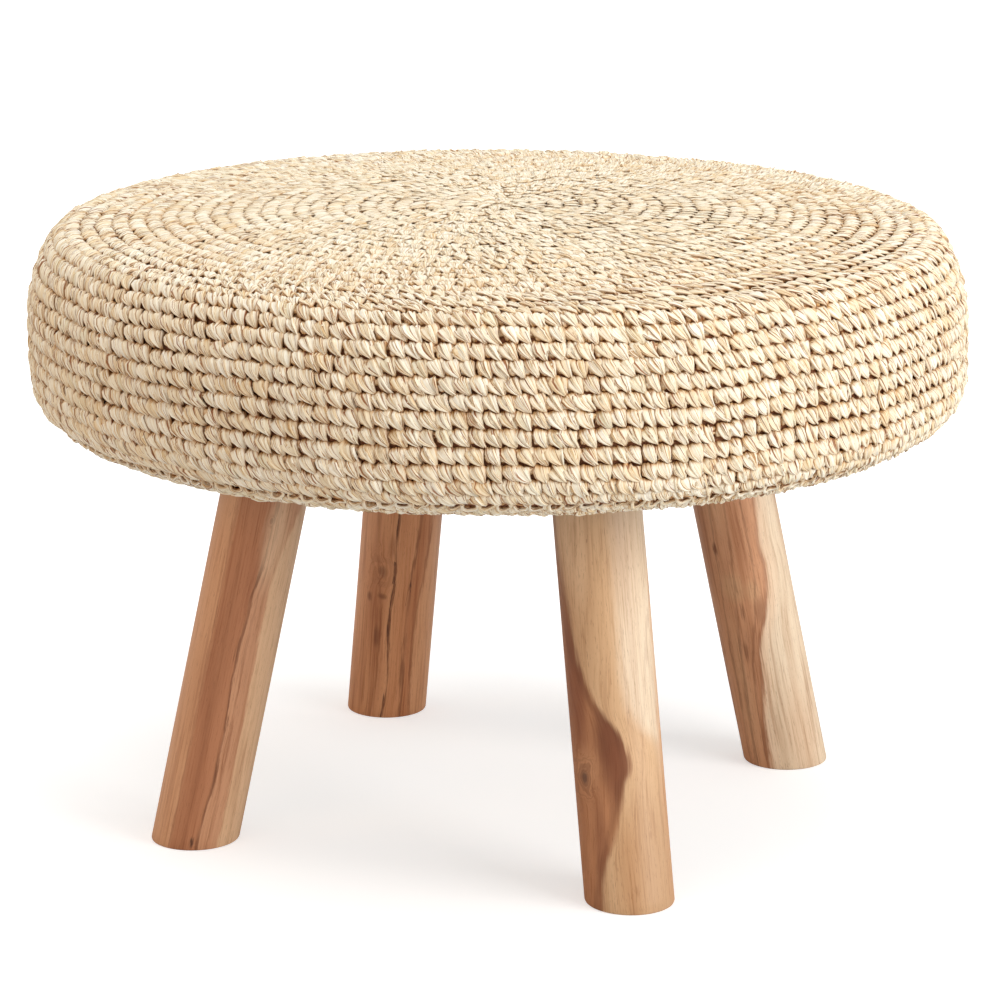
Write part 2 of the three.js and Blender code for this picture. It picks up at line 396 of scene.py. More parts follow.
def set_down(name, data):
    """A new object in the scene."""
    thing = bpy.data.objects.new(name, data)
    bpy.context.scene.collection.objects.link(thing)
    return thing


def new_piece(name, mesh, material, node=None):
    """Puts a finished mesh in the scene as a piece that rides on the stool."""
    piece = set_down(name, mesh)
    piece.data.materials.clear()
    piece.data.materials.append(material)
    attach(piece, "root")
    if node:
        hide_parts(node)
    return piece


def plain_mesh(thing):
    """The mesh that an object's modifiers make of it."""
    depsgraph = bpy.context.evaluated_depsgraph_get()
    return bpy.data.meshes.new_from_object(thing.evaluated_get(depsgraph), depsgraph=depsgraph)


def smooth_mesh(name, places, faces, merge=0.0):
    """A smooth mesh whose faces point outwards, with corners closer than a distance merged."""
    mesh = bpy.data.meshes.new(name)
    mesh.from_pydata([tuple(place) for place in places], [], faces)
    body = bmesh.new()
    body.from_mesh(mesh)
    if merge:
        bmesh.ops.remove_doubles(body, verts=body.verts, dist=merge)
    bmesh.ops.recalc_face_normals(body, faces=body.faces)
    body.to_mesh(mesh)
    body.free()
    mesh.polygons.foreach_set("use_smooth", [True] * len(mesh.polygons))
    mesh.update()
    return mesh


def wheel(name, outline, segments):
    """A closed solid of revolution about Z, from an outline of radius and height."""
    on_axis = [radius < 1e-7 for radius, _ in outline]
    turns = np.linspace(0, FULL_TURN, segments, endpoint=False)
    places, rows = [], []
    for (radius, height), middle in zip(outline, on_axis):
        if middle:
            rows.append([len(places)] * segments)
            places.append((0, 0, height))
        else:
            rows.append([len(places) + step for step in range(segments)])
            places += [(radius * math.cos(turn), radius * math.sin(turn), height) for turn in turns]
    pairs = list(zip(rows, rows[1:] + rows[:1]))
    if any(on_axis):
        pairs = pairs[:-1]
    faces = []
    for upper, lower in pairs:
        for step in range(segments):
            after = (step + 1) % segments
            face = [upper[step], lower[step], lower[after], upper[after]]
            corners = [c for index, c in enumerate(face) if c not in face[:index]]
            if len(corners) > 2:
                faces.append(corners)
    return smooth_mesh(name, places, faces)


# Raffia strands

# Corners of a strand's cross-section: how far across and how far outwards, in halves of its width and height
NARROW = ((1.0, -0.1), (0.52, 0.86), (-0.52, 0.86), (-1.0, -0.1), (0.0, -0.6))
PLEATED = ((1.0, 0.2), (0.86, 0.85), (0.58, 0.98), (0.36, 0.42), (0.12, 1.0), (-0.18, 0.92),
           (-0.4, 0.25), (-0.72, 0.55), (-1.0, -0.5), (0.0, -0.8))
HAIR = ((0.8, -0.5), (-0.8, -0.5), (0.0, 1.0))
STRAND_VARIANTS = 10


class Strand:
    """A strand in the making, with a UV round and along it. Its corners carry how proud they stand."""

    def __init__(self):
        self.body = bmesh.new()
        self.layout = self.body.loops.layers.uv.new("UVMap")
        self.proud = self.body.verts.layers.float.new("proud")

    def face(self, corners, marks):
        made = self.body.faces.new(corners)
        made.smooth = True
        for loop, mark in zip(made.loops, marks):
            loop[self.layout].uv = mark

    def join(self, family, number):
        """Adds the finished strand to its family."""
        for corner in self.body.verts:
            corner[self.proud] = corner.co.z / MM
        bmesh.ops.recalc_face_normals(self.body, faces=self.body.faces)
        mesh = bpy.data.meshes.new(f"{family.name}_{number}")
        self.body.to_mesh(mesh)
        self.body.free()
        family.objects.link(bpy.data.objects.new(mesh.name, mesh))


def closed_strand(stations, half_widths, half_heights, section):
    """A strand along a path, drawn to a point at both ends. Its UV lies mostly over its outer side."""
    stations = [Vector(place) for place in stations]
    sides = len(section)
    last = len(stations) - 1
    marks = [0.75 * side / (sides - 2) for side in range(sides - 1)] + [0.875, 1.0]
    strand = Strand()
    corner = strand.body.verts.new
    rings = []
    for index in range(1, last):
        heading = (stations[index + 1] - stations[index - 1]).normalized()
        across = heading.cross(Vector((0, 0, 1))).normalized()
        outwards = across.cross(heading)
        rings.append([corner(stations[index] + across * (half_widths[index - 1] * x)
                             + outwards * (half_heights[index - 1] * y)) for x, y in section])
    ends = [corner(stations[0]), corner(stations[last])]
    caps = ((rings[0], ends[0], 1 / last, 0.0), (rings[-1], ends[1], 1 - 1 / last, 1.0))
    for side in range(sides):
        after = (side + 1) % sides
        left, right = marks[side], marks[side + 1]
        for index, (ring, following) in enumerate(zip(rings, rings[1:]), start=1):
            near, far = index / last, (index + 1) / last
            strand.face([ring[side], ring[after], following[after], following[side]],
                        [(left, near), (right, near), (right, far), (left, far)])
        for ring, end, near, far in caps:
            tip = ((left + right) / 2, far)
            strand.face([ring[side], ring[after], end], [(left, near), (right, near), tip])
    return strand


def strand_family(name, path, half_widths, half_heights, section=NARROW, aside=(0.0, 0.0), wander=0.35,
                  pleats=0.15, seed=0):
    """A hidden collection of strands of one kind, each a little different. Sizes here are in millimetres."""
    chance = np.random.default_rng(seed)
    family = bpy.data.collections.new(name)
    path = np.array(path)
    share = np.linspace(-1, 1, len(path))
    spread = np.interp(share, (-1.0, 0.0, 1.0), (1.0, 0.75, 0.15))
    for number in range(STRAND_VARIANTS):
        every_fifth = number % 5 == 4
        loose = wander * (2.2 if every_fifth else 1.0)
        stations = path + chance.normal(0, wander / 3, path.shape)
        stations[:, 0] += chance.uniform(*aside) * spread
        stations[:, 0] += chance.normal(0, loose) * share + chance.normal(0, loose) * (1 - share ** 2)
        widths = np.array(half_widths) * chance.uniform(0.85, 1.15)
        heights = np.array(half_heights) * chance.uniform(0.85, 1.15)
        uneven = [(x, y * (1 + chance.normal(0, pleats))) for x, y in section]
        closed_strand(stations * MM, widths * MM, heights * MM, uneven).join(family, number)
    return family


def loop_family(name, seed):
    """A hidden collection of open loops for the seat's lower edge. Sizes here are in millimetres."""
    chance = np.random.default_rng(seed)
    family = bpy.data.collections.new(name)
    corners, sides = 10, 4
    for number in range(STRAND_VARIANTS):
        long_half = chance.uniform(3.9, 4.8)
        tall_half = chance.uniform(3.0, 3.8)
        lean = chance.normal(0.12, 0.12)
        thick = chance.uniform(1.1, 1.4)
        strand = Strand()
        rings = []
        for corner in range(corners):
            turn = FULL_TURN * corner / corners
            heading = Vector((-math.sin(turn) * long_half, math.cos(turn) * tall_half, 0)).normalized()
            aside = Vector((heading.y, -heading.x, 0))
            middle = Vector((math.cos(turn) * long_half, math.sin(turn) * tall_half, 0))
            middle.x += lean * middle.y + chance.normal(0, 0.25)
            middle.y += chance.normal(-0.6, 0.25)
            middle.z = 3.6 - 0.42 * middle.y + 0.6 * math.sin(2 * turn) + chance.normal(0, 0.2)
            ring = []
            for side in range(sides):
                around = FULL_TURN * (side + 0.5) / sides
                rise = Vector((0, 0, thick * math.sin(around)))
                place = middle + aside * (thick * math.cos(around)) + rise
                ring.append(strand.body.verts.new(place * MM))
            rings.append(ring)
        for corner in range(corners):
            ring, following = rings[corner], rings[(corner + 1) % corners]
            near, far = (0.2 + 0.6 * step / corners for step in (corner, corner + 1))
            for side in range(sides):
                after = (side + 1) % sides
                left, right = (0.15 + 0.45 * step / sides for step in (side, side + 1))
                strand.face([ring[side], ring[after], following[after], following[side]],
                            [(left, near), (right, near), (right, far), (left, far)])
        strand.join(family, number)
    return family


def put_away(families):
    """Removes the strands that the crochet was made from."""
    for family in families:
        for strand in list(family.objects):
            mesh = strand.data
            bpy.data.objects.remove(strand)
            bpy.data.meshes.remove(mesh)
        bpy.data.collections.remove(family)


# Geometry Nodes

# The strands of a stitch, and how many fibres wide each is
STRANDS = {"Leaf": 7.0, "Crease": 3.0, "Lobe": 4.0, "Bar": 3.0, "Loose fibre": 1.0}


def crochet_tree():
    """Lays raffia stitches along a guide that winds round the seat."""
    bench = TreeBench("Crochet", {
        "Guide": "Geometry", "Stitch width": "Float", "Looseness": "Float", "Uneven spacing": "Float",
        "Twist": "Float", "Size change": "Float", "Share with a loose fibre": "Float", "Seed": "Int",
        "Raffia": "Material", **{name: "Collection" for name in STRANDS},
    })
    given = bench.given
    path = bench.add("GeometryNodeMeshToCurve", {"Mesh": given["Guide"]})
    laid = bench.add("GeometryNodeCurveToPoints", {"Curve": path, "Length": given["Stitch width"]},
                     mode="LENGTH")
    tangent = laid.outputs["Tangent"]
    outwards = bench.add("GeometryNodeInputNamedAttribute", {"Name": "outwards"}, data_type="FLOAT_VECTOR")
    relief = bench.add("GeometryNodeInputNamedAttribute", {"Name": "relief"}, data_type="FLOAT")
    stance = bench.add("FunctionNodeAxesToRotation", {"Primary Axis": outwards, "Secondary Axis": tangent},
                       primary_axis="Z", secondary_axis="X")

    def chance(kind, output, step, limits):
        """A random value for each stitch, drawn with the seed this many steps on."""
        seed = bench.math("ADD", given["Seed"], float(step))
        return bench.add("FunctionNodeRandomValue", {**limits, "Seed": seed}, data_type=kind).outputs[output]

    def chance_vector(reach, step):
        low = bench.math("MULTIPLY", reach, -1.0)
        limits = {0: bench.combine(low, low, low), 1: bench.combine(reach, reach, reach)}
        return chance("FLOAT_VECTOR", 0, step, limits)

    def stored(points, name, value):
        return bench.add("GeometryNodeStoreNamedAttribute", {
            "Geometry": points, "Name": name, "Value": value,
        }, data_type="FLOAT", domain="POINT")

    spacing = bench.math("MULTIPLY", given["Uneven spacing"], chance("FLOAT", 1, 2, {2: -1.0}))
    along = bench.add("ShaderNodeVectorMath", {0: tangent, "Scale": spacing}, operation="SCALE")
    loose = chance_vector(given["Looseness"], 1)
    shift = bench.add("ShaderNodeVectorMath", {0: along.outputs["Vector"], 1: loose}, operation="ADD")
    shaken = bench.add("GeometryNodeSetPosition", {"Geometry": laid.outputs["Points"], "Offset": shift})
    has_fibre = chance("BOOLEAN", 3, 3, {"Probability": given["Share with a loose fibre"]})
    strands = []
    for step, (name, breadth) in zip(range(10, 60, 10), STRANDS.items()):
        toned = stored(shaken, "tone", chance("FLOAT", 1, step, {2: 0.0}))
        family = bench.add("GeometryNodeCollectionInfo", {
            "Collection": given[name], "Separate Children": True, "Reset Children": True,
        })
        turn = bench.add("FunctionNodeRotateRotation", {
            "Rotation": stance, "Rotate By": chance_vector(given["Twist"], step + 2),
        }, rotation_space="LOCAL")
        larger = bench.add("ShaderNodeVectorMath", {
            0: chance_vector(given["Size change"], step + 3), 1: bench.combine(1.0, 1.0, relief),
        }, operation="ADD")
        strands.append(bench.add("GeometryNodeInstanceOnPoints", {
            "Points": stored(toned, "breadth", breadth), "Instance": family, "Pick Instance": True,
            "Instance Index": chance("INT", 2, step + 1, {5: 1000}), "Rotation": turn, "Scale": larger,
            "Selection": has_fibre if name == "Loose fibre" else None,
        }))
    together = bench.add("GeometryNodeJoinGeometry")
    for strand in reversed(strands):
        bench.join(strand, together.inputs["Geometry"])
    return bench.finish(together, given["Raffia"])


def fastener_tree():
    """Drives one fastener in at every point of a mesh, turned at random about its own axis."""
    bench = TreeBench("Fasteners", {
        "Places": "Geometry", "Fastener": "Object", "Size": "Float", "Seed": "Int", "Finish": "Material",
    })
    given = bench.given
    shape = bench.add("GeometryNodeObjectInfo", {"Object": given["Fastener"]}).outputs["Geometry"]
    chance = bench.add("FunctionNodeRandomValue", {3: FULL_TURN, "Seed": given["Seed"]}, data_type="FLOAT")
    set_in = bench.add("GeometryNodeInstanceOnPoints", {
        "Points": given["Places"], "Instance": shape, "Rotation": bench.combine(z=chance.outputs[1]),
        "Scale": bench.combine(given["Size"], given["Size"], given["Size"]),
    })
    return bench.finish(set_in, given["Finish"])


def worked(name, guide, tree, settings):
    """Runs a Geometry Nodes tree on a guide mesh and returns the plain mesh that it makes."""
    stand_in = set_down(f"{name}_guide", guide)
    modifier = stand_in.modifiers.new(tree.name, "NODES")
    modifier.node_group = tree
    for item in tree.interface.items_tree:
        if item.in_out == "INPUT" and item.name in settings:
            modifier[item.identifier] = settings[item.name]
    mesh = plain_mesh(stand_in)
    mesh.name = name
    bpy.data.objects.remove(stand_in)
    return mesh


# The pad under the cover


def layer_outline(depth, end_radius):
    """Radius and height of a layer of the seat, from its middle to where it comes back in to a radius."""
    layer = SeatSkin(depth)
    outline = []
    for run in np.arange(0, layer.length, 5 * MM):
        radius, height = layer.at(run)[:2]
        if run > UNDERSIDE_RUN and radius < end_radius:
            break
        outline.append((radius, height))
    outline[0] = (0.0, outline[0][1])
    return outline + [(end_radius, outline[-1][1])]


def puffed_pad():
    """A search tree of the padding's outer face, which a short cloth simulation blows out."""
    scene = bpy.context.scene
    outline = layer_outline(WADDING_DEPTH + PAD_SLACK, BOARD_RADIUS)
    outline += [(BOARD_RADIUS / 2, outline[-1][1]), (0.0, outline[-1][1])]
    pad = set_down("pad", wheel("pad", outline, 96))
    even = pad.modifiers.new("even faces", "REMESH")
    even.mode = "VOXEL"
    even.voxel_size = PAD_FACE
    pad.data = plain_mesh(pad)
    pad.modifiers.clear()
    for vertex in pad.data.vertices:
        vertex.co *= 1 - 0.006 * (0.5 + 0.5 * soft_noise(vertex.co, 0.055))
    start = np.array([vertex.co for vertex in pad.data.vertices])
    held = pad.vertex_groups.new(name="held")
    held.add([index for index, place in enumerate(start) if place[2] < HELD_BELOW], 1.0, "REPLACE")
    cloth = pad.modifiers.new("blown out", "CLOTH")
    cloth.settings.quality = 5
    cloth.settings.use_pressure = True
    cloth.settings.uniform_pressure_force = PUFF_PRESSURE
    cloth.settings.vertex_group_mass = "held"
    cloth.settings.effector_weights.gravity = 0
    cloth.point_cache.frame_start = 1
    cloth.point_cache.frame_end = PUFF_FRAMES
    for moment in range(1, PUFF_FRAMES + 1):
        scene.frame_set(moment)
    blown = pad.evaluated_get(bpy.context.evaluated_depsgraph_get()).data
    moved = np.array([vertex.co for vertex in blown.vertices]) - start
    length = np.maximum(np.linalg.norm(moved, axis=1, keepdims=True), 1e-9)
    places = start + moved * np.minimum(1, PUFF_LIMIT / length)
    faces = [tuple(face.vertices) for face in blown.polygons]
    surface = BVHTree.FromPolygons([tuple(place) for place in places], faces)
    scene.frame_set(1)
    bpy.data.objects.remove(pad)
    return surface


def swelling(surface, spot, outwards):
    """How much further out than usual the blown-out pad lies below a spot of the seat's skin."""
    if surface is None:
        return 0.0
    away = surface.ray_cast(Vector(spot), -Vector(outwards), SWELL_REACH)[3]
    if away is None:
        return 0.0
    return max(-SWELL_LIMIT, min(SWELL_LIMIT, SWELL_SHARE * (USUAL_PAD_DEPTH - away)))


def wadding(surface):
    """The soft wrap over the foam, with its outer face on the blown-out pad."""
    outer = layer_outline(WADDING_DEPTH, PAD_EDGE)
    inner = layer_outline(WADDING_DEPTH + WADDING_THICKNESS, PAD_EDGE)
    mesh = wheel("wadding", outer + inner[::-1], ROUND_SEGMENTS)
    middle = Vector((0, 0, 0.30))
    for vertex in mesh.vertices[:1 + (len(outer) - 1) * ROUND_SEGMENTS]:
        spot = vertex.co.copy()
        slack = 0.5 * MM + 0.4 * MM * soft_noise(spot, 0.03)
        if surface is not None:
            away = surface.find_nearest(spot)[3]
            slack += min(away, 2.5 * MM) * 0.8
        vertex.co -= (spot - middle).normalized() * slack
    mesh.update()
    fluff = new_piece("wadding_wrap", mesh, wadding_material(), "wadding")


def foam_pad():
    """The foam block: crowned above, flat where it lies on the disc, with softly uneven sawn faces."""
    outline = layer_outline(FOAM_DEPTH, PAD_EDGE)
    lap_foot = outline[-1][1]
    outline += [(PAD_EDGE, z) for z in np.linspace(lap_foot, FOAM_SEAT, 5)[1:]]
    outline += [(r, FOAM_SEAT) for r in np.linspace(BOARD_RADIUS, 0, 20)]
    mesh = wheel("foam_pad", outline, ROUND_SEGMENTS)
    for vertex in mesh.vertices:
        if vertex.co.z > FOAM_SEAT + 1 * MM:
            vertex.co.z -= 0.5 * MM * (0.5 + 0.5 * soft_noise(vertex.co, 0.02))
    mesh.update()
    block = new_piece("foam_block", mesh, foam_material(), "foam_pad")


def lay_out(mesh, flat):
    """Gives the piece its UV: where each spot lay on the flat cloth, in metres."""
    uv = mesh.uv_layers.new(name="UVMap")
    for loop in mesh.loops:
        uv.data[loop.index].uv = flat(mesh.vertices[loop.vertex_index].co)


def lining():
    """The cotton bag, a gathered round of cloth whose edge is glued up under the disc."""
    outer = layer_outline(LINING_DEPTH, LINING_END)
    inner = layer_outline(LINING_DEPTH + CLOTH_THICKNESS, LINING_END)
    mesh = wheel("lining", outer + inner[::-1], ROUND_SEGMENTS)
    reach = SeatSkin(LINING_DEPTH)

    def measured_along(place):
        side = math.hypot(place.x, place.y)
        nearest = int(np.argmin(np.hypot(reach.radius - side, reach.height - place.z)))
        stretch = reach.run[nearest] / max(side, 1e-6)
        return place.x * stretch, place.y * stretch

    lay_out(mesh, measured_along)
    bag = new_piece("lining_bag", mesh, cotton_material(), "lining")


def plate_clearance(x, y):
    """How far a place under the seat is from the nearest leg plate."""
    angle = math.atan2(y, x)
    nearest = round((angle + math.pi / 4) / (math.pi / 2)) * math.pi / 2 - math.pi / 4
    out = x * math.cos(nearest) + y * math.sin(nearest) - PLATE_RADIUS
    across = -x * math.sin(nearest) + y * math.cos(nearest)
    return max(abs(out), abs(across)) - PLATE_HALF


def dust_cover():
    """Spun cloth under the disc: flat at the plates, stepped over the hem, puckered between staples."""
    upper = [(r, DUST_TOP) for r in np.linspace(0, DUST_STEP_START, 34)]
    upper += [(r * MM, z * MM) for r, z in ((198.4, 262.8), (200.3, 259.8), (202.1, 256.7), (203.8, 255.6))]
    upper += [(r * MM, DUST_RIM_TOP) for r in (206, 208.5, 211, 213.5, 216)]
    lower = [(r, z - CLOTH_THICKNESS) for r, z in upper]
    mesh = wheel("dust_cover", upper + lower[::-1], 192)
    for vertex in mesh.vertices:
        x, y, z = vertex.co
        radius, angle = math.hypot(x, y), math.atan2(y, x)
        free = min(1.0, max(0.0, (plate_clearance(x, y) - 3 * MM) / (18 * MM)))
        free *= min(1.0, max(0.0, (DUST_STEP_START - radius) / (14 * MM)))
        slack = 0.6 + 0.4 * math.cos(STAPLES * angle + 2 * soft_noise((x, y, 0.3), 0.08))
        slack *= 0.5 + 0.5 * soft_noise((x, y, 0.0), 0.035)
        vertex.co.z -= free * DUST_SAG * slack
        if radius > DUST_STEP_END:
            outer_share = (radius - DUST_STEP_END) / DUST_RIM_WIDTH
            vertex.co.z -= DUST_PUCKER * (0.5 + 0.5 * math.cos(STAPLES * angle)) * outer_share
            stretch = 1 + 0.004 * soft_noise((x, y, 0.7), 0.012) * outer_share
            vertex.co.x *= stretch
            vertex.co.y *= stretch
    lay_out(mesh, lambda place: (place.x, place.y))
    mesh.update()
    cloth = new_piece("dust_cloth", mesh, dust_cloth_material(), "dust_cover")


# Materials of the seat's inside


def bent_wave(bench, value, size):
    """A smooth ripple from 0 to 1 whose crests are this far apart."""
    return bench.math("MULTIPLY_ADD", bench.math("SINE", value * (FULL_TURN / size)), 0.5, 0.5)


def wadding_material():
    """White wadding: tangled fibres in loose swirls."""
    bench = ShaderBench("polyester_wadding")
    place = bench.place()
    swirl = bench.noise(place, 60.0, detail=4.0, distortion=2.5)
    fibres = bench.noise(place, 420.0, detail=4.0, roughness=0.7, distortion=3.0)
    color = bench.blend(bench.fade(fibres, 0.35, 0.6), (222, 219, 210), (246, 244, 238))
    normal = bench.bump(fibres, 0.8 * MM, 0.8, bench.bump(swirl, 2 * MM, 0.5))
    return bench.finish(color, 0.95, normal, Sheen_Weight=0.3)


def foam_material():
    """Cream foam with open cells about a millimetre across, yellower in patches."""
    bench = ShaderBench("open_cell_foam")
    place = bench.place()
    cells = bench.add("ShaderNodeTexVoronoi", {"Vector": place, "Scale": 900.0}).outputs["Distance"]
    tone = bench.noise(place, 25.0)
    color = bench.blend(bench.fade(cells, 0.0, 0.45), (196, 176, 118), (238, 226, 180))
    color = bench.blend(bench.fade(tone, 0.4, 0.7, 0.0, 0.25), color, (226, 206, 150))
    return bench.finish(color, 0.9, bench.bump(cells, 0.5 * MM, 0.8))


def cotton_material():
    """Unbleached plain weave, about eleven threads to the centimetre, on the cloth's flat layout."""
    bench = ShaderBench("unbleached_cotton")
    x, y = bench.layout()
    warp, weft = bent_wave(bench, x, 0.9 * MM), bent_wave(bench, y, 0.9 * MM)
    over = bent_wave(bench, x + y, 1.8 * MM)
    weave = warp * over + weft * (1.0 - over)
    slub = bench.noise(bench.place(), 90.0, detail=3.0)
    color = bench.blend(bench.fade(weave, 0.15, 0.8), (190, 178, 152), (236, 229, 212))
    color = bench.blend(bench.fade(slub, 0.5, 0.75, 0.0, 0.3), color, (206, 194, 166))
    return bench.finish(color, 0.9, bench.bump(weave, 0.25 * MM, 0.8))


def dust_cloth_material():
    """Charcoal spun cloth with a grid of pressed dimples and loose fibres."""
    bench = ShaderBench("spun_dust_cloth")
    x, y = bench.layout()
    dimples = bench.fade(bent_wave(bench, x, 2.6 * MM) * bent_wave(bench, y, 2.6 * MM), 0.55, 0.8)
    place = bench.place()
    fibres = bench.noise(place, 700.0, detail=4.0, roughness=0.7, distortion=2.0)
    wear = bench.noise(place, 18.0)
    color = bench.blend(bench.fade(fibres, 0.35, 0.65), (34, 33, 32), (66, 64, 61))
    color = bench.blend(dimples * 0.6, color, (24, 23, 22))
    color = bench.blend(bench.fade(wear, 0.5, 0.8, 0.0, 0.25), color, (88, 84, 78))
    normal = bench.bump(dimples, -0.25 * MM, 0.9, bench.bump(fibres, 0.12 * MM, 0.5))
    return bench.finish(color, 0.85, normal, Specular_IOR_Level=0.3)


def plywood_material():
    """Seven plies that cross each other, brown glue lines between them and rotary-cut faces."""
    bench = ShaderBench("plywood")
    x, y, z = bench.split(bench.place())
    ply = (z - BOARD_UNDERSIDE) * (BOARD_PLIES / BOARD_THICKNESS)
    crossed = bench.math("MODULO", bench.math("FLOOR", ply), 2.0)
    glue = bench.fade(abs(bench.math("FRACT", ply) - 0.5), 0.42, 0.49)

    def veneer(x_scale, y_scale):
        return bench.noise(bench.combine(x * x_scale, y * y_scale, ply), 1.0, 3.0, 0.6, 0.4)

    grain = veneer(12.0, 260.0) * (1.0 - crossed) + veneer(260.0, 12.0) * crossed
    color = bench.ramp(grain, (0.3, (158, 120, 78)), (0.5, (206, 172, 124)), (0.7, (226, 198, 154)))
    color = bench.blend(crossed * 0.35, color, (150, 110, 72))
    color = bench.blend(glue * 0.7, color, (84, 56, 36))
    return bench.finish(color, bench.fade(grain, 0.3, 0.7, 0.75, 0.6), bench.bump(grain, 0.2 * MM, 0.5))


def plated_metal(name, dull, bright, tint, grain_size, roughness):
    """Plated steel with a faint crystal pattern, handling marks and a warmer tint in places."""
    bench = ShaderBench(name)
    place = bench.place()
    crystals = bench.add("ShaderNodeTexVoronoi", {"Vector": place, "Scale": 1 / grain_size}).outputs["Color"]
    spangle = bench.split(crystals)[0]
    marks = bench.noise(place, 650.0, detail=4.0, roughness=0.65)
    clouds = bench.noise(place, 70.0)
    color = bench.blend(spangle, dull, bright)
    color = bench.blend(bench.fade(clouds, 0.45, 0.7, 0.0, 0.5), color, tint)
    rough = bench.fade(marks, 0.3, 0.7, roughness - 0.06, roughness + 0.1) + spangle * 0.06
    return bench.finish(color, rough, bench.bump(marks, 0.04 * MM, 0.4), Metallic=1.0)


# Fittings


def leg_angle(number):
    """The direction that a leg splays in. The front right leg is number 0."""
    return math.radians(-45 + 90 * number)


def finish_nodes(start_of_name, material):
    """Gives the CAD nodes whose names start like this their material."""
    for name, node in frame["nodes"].items():
        if name.startswith(start_of_name):
            for slot in node.material_slots:
                slot.material = material


def wood_screw():
    """A countersunk screw, head down, with a cross recess and a coarse thread."""
    outline = [(0.0, 1.7), (0.9, 0.0), (2.2, 0.0), (2.7, 0.0), (3.8, 0.0), (4.0, 0.25), (2.05, 2.2)]
    for turn in range(7):
        outline += [(1.5, 2.9 + 1.55 * turn), (2.0, 3.6 + 1.55 * turn)]
    outline += [(1.4, 14.2), (0.0, 16.0)]
    mesh = wheel("wood_screw", [(r * MM, z * MM) for r, z in outline], 16)
    for vertex in mesh.vertices:
        radius = math.hypot(vertex.co.x, vertex.co.y)
        if vertex.co.z < 0.01 * MM and radius < 2.4 * MM:
            in_cross = abs(math.cos(2 * math.atan2(vertex.co.y, vertex.co.x))) > 0.95
            recess = 1.5 * MM if radius < 1 * MM else 0.7 * MM
            vertex.co.z = recess if in_cross else 0.0
    return mesh


def plate_screws(tree):
    """Four screws in each leg plate."""
    places = []
    for number in range(4):
        angle = leg_angle(number)
        for out, across in ((1, 1), (-1, 1), (-1, -1), (1, -1)):
            radius, side = PLATE_RADIUS + out * SCREW_OFFSET, across * SCREW_OFFSET
            places.append((radius * math.cos(angle) - side * math.sin(angle),
                           radius * math.sin(angle) + side * math.cos(angle), PLATE_UNDERSIDE))
    points = bpy.data.meshes.new("screw_places")
    points.from_pydata(places, [], [])
    pattern = bpy.data.objects.new("wood_screw", wood_screw())
    yellow_zinc = plated_metal("yellow_zinc", (196, 150, 62), (232, 196, 104), (206, 164, 128), 3 * MM, 0.34)
    settings = {"Fastener": pattern, "Size": 1.0, "Seed": 5, "Finish": yellow_zinc}
    mesh = worked("plate_screws", points, tree, settings)
    screws = new_piece("plate_screws", mesh, yellow_zinc)
    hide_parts(*[name for name in frame["nodes"] if name.startswith("plate_screw_")])
    bpy.data.objects.remove(pattern)


def seat_inside(surface):
    """The layers under the cover and the disc with its fittings."""
    wadding(surface)
    foam_pad()
    lining()
    dust_cover()
    plate_screws(fastener_tree())
    finish_nodes("seat_board", plywood_material())
    zinc = plated_metal("bright_zinc", (150, 154, 158), (196, 200, 204), (186, 184, 172), 4 * MM, 0.38)
    finish_nodes("leg_plate_", zinc)
    finish_nodes("hanger_bolt_", zinc)
    wire = plated_metal("staple_wire", (140, 142, 146), (182, 184, 188), (176, 168, 150), 1 * MM, 0.3)
    finish_nodes("staple_", wire)


# The rounds of crochet


def winding(first_run, last_run):
    """Angle and run of a spiral that gains one row each time round, in steps of about the guide's."""
    angle, run, steps = CAMERA_AZIMUTH, first_run, []
    while run <= last_run:
        steps.append((angle, run))
        turn = GUIDE_STEP / max(skin.at(run)[0], ROW_HEIGHT / 2)
        angle += turn
        run += ROW_HEIGHT * turn / FULL_TURN
    return steps


def shared_out(steps, count):
    """Cuts the winding's steps into as many lengths, each of which ends where the next one starts."""
    share = len(steps) / count
    return [steps[round(number * share):round((number + 1) * share) + 1] for number in range(count)]


def guide_points(steps, surface):
    """Places on the stitches' bed, the way the seat faces there and how full the stitches are."""
    places, facing, relief = [], [], []
    to_left = CAMERA_AZIMUTH - math.pi / 2
    for angle, run in steps:
        radius, height = skin.at(run)[:2]
        spot = (radius * math.cos(angle), radius * math.sin(angle), height)
        run += ROW_WANDER * soft_noise(spot, 0.06)
        radius, height, out, up = skin.at(run)
        outwards = (out * math.cos(angle), out * math.sin(angle), up)
        full = np.interp(run, RELIEF_RUNS, (TOP_RELIEF, SIDE_RELIEF, SIDE_RELIEF, HEM_RELIEF))
        fuller = math.exp(-((run - FULLER_RUN) / FULLER_SPREAD) ** 2) * math.cos(angle - to_left)
        in_front = max(0.0, math.cos(angle - CAMERA_AZIMUTH)) ** 4
        drawn_up = math.exp(-((run - DRAWN_UP_RUN) / DRAWN_UP_SPREAD) ** 2) * in_front
        lift = BED_WANDER * soft_noise(spot, 0.045) + FULLER_BY * fuller - CREST_DEPTH - STITCH_HEIGHT * full
        lift -= DRAWN_UP_BY * drawn_up
        lift += swelling(surface, spot, outwards)
        radius += out * lift
        height += up * lift
        places.append((radius * math.cos(angle), radius * math.sin(angle), height))
        facing.append(outwards)
        relief.append(full)
    return places, facing, relief


